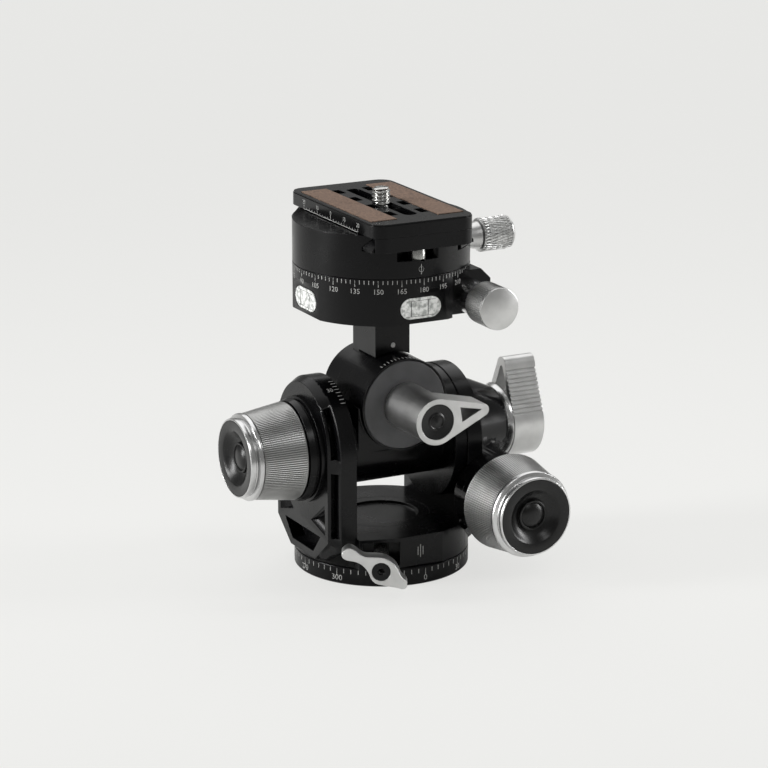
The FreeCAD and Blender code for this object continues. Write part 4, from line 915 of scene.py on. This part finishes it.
class HEAD_OT_scales(bpy.types.Operator):
    """Engraved and inked scales on the base ring, pan drum, arch, barrel and plate"""
    bl_idname = "head.scales"
    bl_label = "Scales"

    def ticks(self, name, radius, top, length, count, first, step, sizes):
        half = sizes.tick_width / 2
        mark = brick((-half, -radius - sizes.tick_depth, top - length), (half, -radius + 0.05, top))
        return repeat(name, mark, count, finish("ink"), first_turn=first, turn_step=step)

    def execute(self, context):
        sizes = context.scene.head_sizes
        depth = sizes.tick_depth
        high = box("base_ring")[1]
        radius, top = high.x, high.z - 0.75
        pieces = [
            self.ticks("base_ticks", radius, top, sizes.base_tick, 72, 2.5, 5, sizes),
            self.ticks("base_long_ticks", radius, top, sizes.base_tick * 1.5, 12, 2.5, 30, sizes)]
        for value in range(0, 360, 30):
            pieces.append(wrapped_text("base_number", str(value), sizes.number_height, radius, value + 2.5,
                                       1.3, depth))
        join("base_scale", pieces, "base")
        low, high = box("pan_drum")
        radius, top = high.x, high.z - 0.35
        zero = -179.3
        pieces = [self.ticks("drum_ticks", radius, top, sizes.drum_tick, 120, zero, 3, sizes),
                  self.ticks("drum_long_ticks", radius, top, sizes.drum_tick * 1.7, 24, zero, 15, sizes)]
        for value in range(0, 360, 15):
            pieces.append(wrapped_text("drum_number", str(value), sizes.number_height * 0.88, radius,
                                       value + zero,
                                       high.z - 4.9, depth))
        join("drum_scale", pieces, "roll")
        self.index_marks(sizes)
        self.arch_scale(sizes)
        self.plate_scale(sizes)
        return {"FINISHED"}

    def index_marks(self, sizes):
        low, high = box("pan_table")
        half, depth = sizes.tick_width / 2, sizes.tick_depth
        middle = (low.z + high.z) / 2 - 0.2
        lines = []
        for offset, reach in ((-0.95, 1.5), (0, 2.3), (0.95, 1.5)):
            mark = brick((offset - half, low.y - depth, middle - reach),
                         (offset + half, low.y + 0.05, middle + reach))
            lines.append(new_object("table_index", *mark, finish("ink")))
        join("table_index", lines, "yoke")
        low, high = box("clamp_drum")
        radius = (high.y - low.y) / 2
        circle = [(1.0 * math.cos(a), 1.0 * math.sin(a)) for a in [math.radians(k * 15) for k in range(24)]]
        ring_points, faces = [], []
        for x, z in circle:
            for share in (1.0, 0.82):
                for out in (0.05, -depth):
                    y = -math.sqrt(radius * radius - (x * share) ** 2) + out
                    ring_points.append((x * share, y, z * share))
        for k in range(24):
            a, b = k * 4, (k + 1) % 24 * 4
            faces += [(a + 1, b + 1, b + 3, a + 3), (a, a + 1, a + 3, a + 2)[::-1], (a, b, b + 1, a + 1)]
        turn = Matrix.Rotation(math.radians(-1.3), 4, "Z") @ Matrix.Translation((0, 0, 109.6 * MM))
        ring = new_object("drum_index_ring", ring_points, [f for f in faces if len(set(f)) == 4],
                          finish("ink"), turn)
        line = new_object("drum_index_line",
                          *brick((-half, -radius - depth, -1.7), (half, -radius + 0.05, 1.7)),
                          finish("ink"), turn)
        join("drum_index", [ring, line], "clamp")

    def arch_scale(self, sizes):
        """Tilt scale on the rim of the left arch, roll scale on the barrel, and the post's dot."""
        radius, depth, half = 23.2, sizes.tick_depth, sizes.tick_width / 2
        axis, crown = 44.0, 68.8
        rise = (crown - axis) / radius
        pieces = []
        for index in range(8):
            lean = math.radians(15 + 3.7 * index)
            out = Vector((0, -math.sin(lean), math.cos(lean) / rise)).normalized()
            spot = (-23.1, -radius * math.sin(lean), axis + rise * radius * math.cos(lean))
            place = face_matrix(spot, RIGHT, out.cross(RIGHT))
            pieces.append(new_object("tilt_tick", *brick((0, -half, -0.1), (1.7, half, depth)), finish("ink"),
                                     place))
            if index == 3:
                shift = Matrix.Translation((-1.6 * MM, -0.8 * MM, 0.01 * MM))
                pieces.append(flat_text("tilt_number", "30", 1.7, place @ shift, depth))
        join("tilt_scale", pieces, "yoke")
        dot = turned("post_dot", [(0, -0.1), (0.9, -0.1), (0.85, 0.06), (0, 0.06)], finish("ink"),
                     towards(FRONT, (0.2, -8.3, 78.4)), 24)
        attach(dot, "roll")
        radius, front = 16.0, -17.3
        mark = brick((-half, -radius - depth, 0), (half, -radius + 0.05, 1.4))
        base = Matrix.Translation((0, (front + 1.0) * MM,
                                   59.7 * MM)) @ Matrix.Rotation(math.radians(-90), 4, "X")
        ticks = repeat("roll_ticks", mark, 13, finish("ink"), turn_step=5,
                       matrix=base @ Matrix.Rotation(math.radians(-30), 4, "Z"))
        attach(ticks, "tilt")

    def plate_scale(self, sizes):
        low, high = box("quick_release_plate")
        half, depth = sizes.tick_width / 2, sizes.tick_depth
        bottom = high.z - 4.4
        pieces = []
        for index in range(21):
            y = (index - 10) * 2.0
            long = index % 5 == 0
            mark = brick((low.x - depth, y - half, bottom),
                         (low.x + 0.05, y + half, bottom + (1.3 if long else 0.7)))
            pieces.append(new_object("plate_tick", *mark, finish("ink")))
            if long:
                spot = face_matrix((low.x - depth / 2, y, bottom + 1.6), (0, -1, 0), UP)
                pieces.append(flat_text("plate_number", str(abs(index - 10) * 2), 1.5, spot, depth))
        rail = brick((low.x - depth, -20, bottom - half), (low.x + 0.05, 20, bottom + half))
        pieces.append(new_object("plate_rail", *rail, finish("ink")))
        join("plate_scale", pieces, "plate")


class HEAD_OT_levels(bpy.types.Operator):
    """Spirit levels with their lines and bubbles"""
    bl_idname = "head.levels"
    bl_label = "Levels"

    def execute(self, context):
        sizes = context.scene.head_sizes
        for node, out in (("front_level", FRONT), ("left_level", LEFT)):
            low, high = box(node)
            centre = (low + high) / 2 - UP * 1.3
            across = Vector((1, 0, 0)) if out == FRONT else Vector((0, -1, 0))
            span = abs((high - low).dot(across)) * 0.94
            height = (high.z - low.z) * 0.9
            front = centre + out * abs((high - low).dot(out)) / 2
            place = face_matrix(front, across, UP)
            pieces = []
            for x in (-span * 0.24, span * 0.18):
                pieces.append(new_object("level_line", *brick((x - 0.12, -height * 0.36, -0.1),
                                                               (x + 0.12, height * 0.36, 0.04)),
                                                               finish("dark"), place))
            for y in (-height * 0.38, height * 0.36):
                pieces.append(new_object("level_line", *brick((-span * 0.36, y - 0.06, -0.1),
                                                               (span * 0.36, y + 0.06, 0.03)), finish("dark"),
                                                               place))
            lines = join(node + "_lines", pieces, "roll")
            bubble = self.bubble(node + "_bubble", sizes.bubble_length, height * 0.3, place)
            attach(bubble, "roll")
        return {"FINISHED"}

    def bubble(self, name, length, width, place):
        points, faces, rows, steps = [], [], 8, 20
        for row in range(rows):
            lift = math.pi / 2 * row / rows
            for step in range(steps):
                angle = 2 * math.pi * step / steps
                points.append((length / 2 * math.cos(angle) * math.cos(lift),
                               width * math.sin(angle) * math.cos(lift),
                               0.22 * math.sin(lift) - 0.02))
        points.append((0, 0, 0.2))
        for row in range(rows - 1):
            for step in range(steps):
                a, b = row * steps + step, row * steps + (step + 1) % steps
                faces.append((a, b, b + steps, a + steps))
        last = (rows - 1) * steps
        faces += [(last + step, last + (step + 1) % steps, rows * steps) for step in range(steps)]
        faces.append(tuple(reversed(range(steps))))
        return new_object(name, points, faces, finish("vial"), place, 60.0)


class HEAD_OT_camera_screw(bpy.types.Operator):
    """The threaded and slotted camera screw"""
    bl_idname = "head.camera_screw"
    bl_label = "Camera screw"

    def execute(self, context):
        sizes = context.scene.head_sizes
        low, high = box("camera_screw")
        head = (high.x - low.x) / 2
        radius, pitch = 3.17, sizes.thread_pitch
        start, end = box("quick_release_plate")[1].z - 2.6, high.z
        columns, rows = 48, int((end - start) / pitch * 10)
        points, faces = [], []
        for row in range(rows + 1):
            z = start + (end - start) * row / rows
            taper = min(1.0, max(0.0, (end - z) / 0.9))
            for column in range(columns):
                share = column / columns
                wave = abs(((z / pitch - share) % 1.0) * 2 - 1)
                r = (radius - 0.62 * wave) * (0.82 + 0.18 * taper)
                points.append((r * math.cos(2 * math.pi * share), r * math.sin(2 * math.pi * share), z))
        for row in range(rows):
            for column in range(columns):
                a, b = row * columns + column, row * columns + (column + 1) % columns
                faces.append((a, b, b + columns, a + columns))
        faces.append(tuple(reversed(range(columns))))
        faces.append(tuple(range(rows * columns, (rows + 1) * columns)))
        thread = new_object("camera_screw_thread", points, faces, finish("steel"), smooth_angle=50)
        base = turned("camera_screw_head", [
            (0, low.z), (head - 0.4, low.z), (head, low.z + 0.4), (head, low.z + 2.6),
            (head - 0.4, low.z + 3),
            (2.5, low.z + 3), (2.5, start + 0.2), (0, start + 0.2)], finish("steel"), Matrix.Identity(4))
        # painted shade: a near-black patch where the screw's slot would lie in shade
        slot = new_object("camera_screw_slot", *brick((-2.35, -0.4, end - 0.1), (2.35, 0.4, end + 0.02)),
                          finish("dark"))
        for piece, kind in ((thread, "stainless"), (base, "stainless"), (slot, "stainless")):
            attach(piece, "screw")
            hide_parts("camera_screw")
        return {"FINISHED"}


class HEAD_OT_stage(bpy.types.Operator):
    """Floor, backdrop, soft light and the camera"""
    bl_idname = "head.stage"
    bl_label = "Stage"

    def execute(self, context):
        colours = context.scene.head_colours
        paper = seamless_paper(colours.floor)
        floor = new_object("seamless_floor",
                           [(-9000, -4000, 0), (9000, -4000, 0), (9000, 9000, 0), (-9000, 9000, 0)],
                           [(0, 1, 2, 3)], paper, Matrix.Rotation(math.radians(-27.5), 4, "Z"))
        for name, at, wide, tall, power, beam, aim in (
                ("left_strip", (-1000, 270, 420), 260, 800, 1.7, 60, (0, 0, 130)),
                ("right_strip", (1000, -400, 420), 260, 800, 1.1, 60, (0, 0, 130)),
                ("front_card", (-150, -1500, 1500), 500, 500, 0.5, 60, (0, 0, 110)),
                ("sky_light", (1500, 3300, 3900), 7000, 7000, 200.0, 180, (1500, 3300, 0))):
            lamp = bpy.data.lights.new(name, "AREA")
            lamp.shape = "RECTANGLE"
            lamp.size = wide * MM
            lamp.size_y = tall * MM
            lamp.spread = math.radians(beam)
            lamp.energy = power
            item = bpy.data.objects.new(name, lamp)
            context.scene.collection.objects.link(item)
            item.location = Vector(at) * MM
            item.rotation_euler = (Vector(at) - Vector(aim)).to_track_quat("Z", "Y").to_euler()
        world = bpy.data.worlds.new("studio")
        world.use_nodes = True
        tree = world.node_tree
        tree.nodes.clear()
        back = add(tree, "ShaderNodeBackground", Color=linear("#ececea"), Strength=0.3)
        output = add(tree, "ShaderNodeOutputWorld")
        tree.links.new(back.outputs[0], output.inputs["Surface"])
        context.scene.world = world
        camera = bpy.data.cameras.new("photo_camera")
        camera.lens = 147.17
        camera.sensor_width = 36.0
        camera.clip_end = 100.0
        holder = bpy.data.objects.new("photo_camera", camera)
        context.scene.collection.objects.link(holder)
        at, aim = Vector((-475.35, -913.98, 355.04)), Vector((1.081, 0, 62.53))
        holder.location = at * MM
        holder.rotation_euler = (at - aim).to_track_quat("Z", "Y").to_euler()
        context.scene.camera = holder
        context.scene.view_settings.view_transform = "Standard"
        return {"FINISHED"}


class HEAD_PT_panel(bpy.types.Panel):
    """Shows the head's sizes, colours and step buttons in the sidebar"""
    bl_label = "Geared head"
    bl_idname = "HEAD_PT_panel"
    bl_space_type = "VIEW_3D"
    bl_region_type = "UI"
    bl_category = "Geared head"

    def draw(self, context):
        column = self.layout.column()
        for group in (context.scene.head_sizes, context.scene.head_colours):
            for name in group.__annotations__:
                column.prop(group, name)
        for operator in OPERATORS:
            column.operator(operator.bl_idname)


OPERATORS = (HEAD_OT_finishes, HEAD_OT_gear_knobs, HEAD_OT_small_knobs, HEAD_OT_outlines, HEAD_OT_scales,
             HEAD_OT_levels, HEAD_OT_camera_screw, HEAD_OT_stage)
CLASSES = (HeadSizes, HeadColours) + OPERATORS + (HEAD_PT_panel,)


def register():
    for item in CLASSES:
        bpy.utils.register_class(item)
    bpy.types.Scene.head_sizes = PointerProperty(type=HeadSizes)
    bpy.types.Scene.head_colours = PointerProperty(type=HeadColours)


def unregister():
    del bpy.types.Scene.head_sizes
    del bpy.types.Scene.head_colours
    for item in reversed(CLASSES):
        bpy.utils.unregister_class(item)


def main():
    register()
    for operator in OPERATORS:
        group, name = operator.bl_idname.split(".")
        getattr(getattr(bpy.ops, group), name)()


if __name__ == "__main__":
    main()
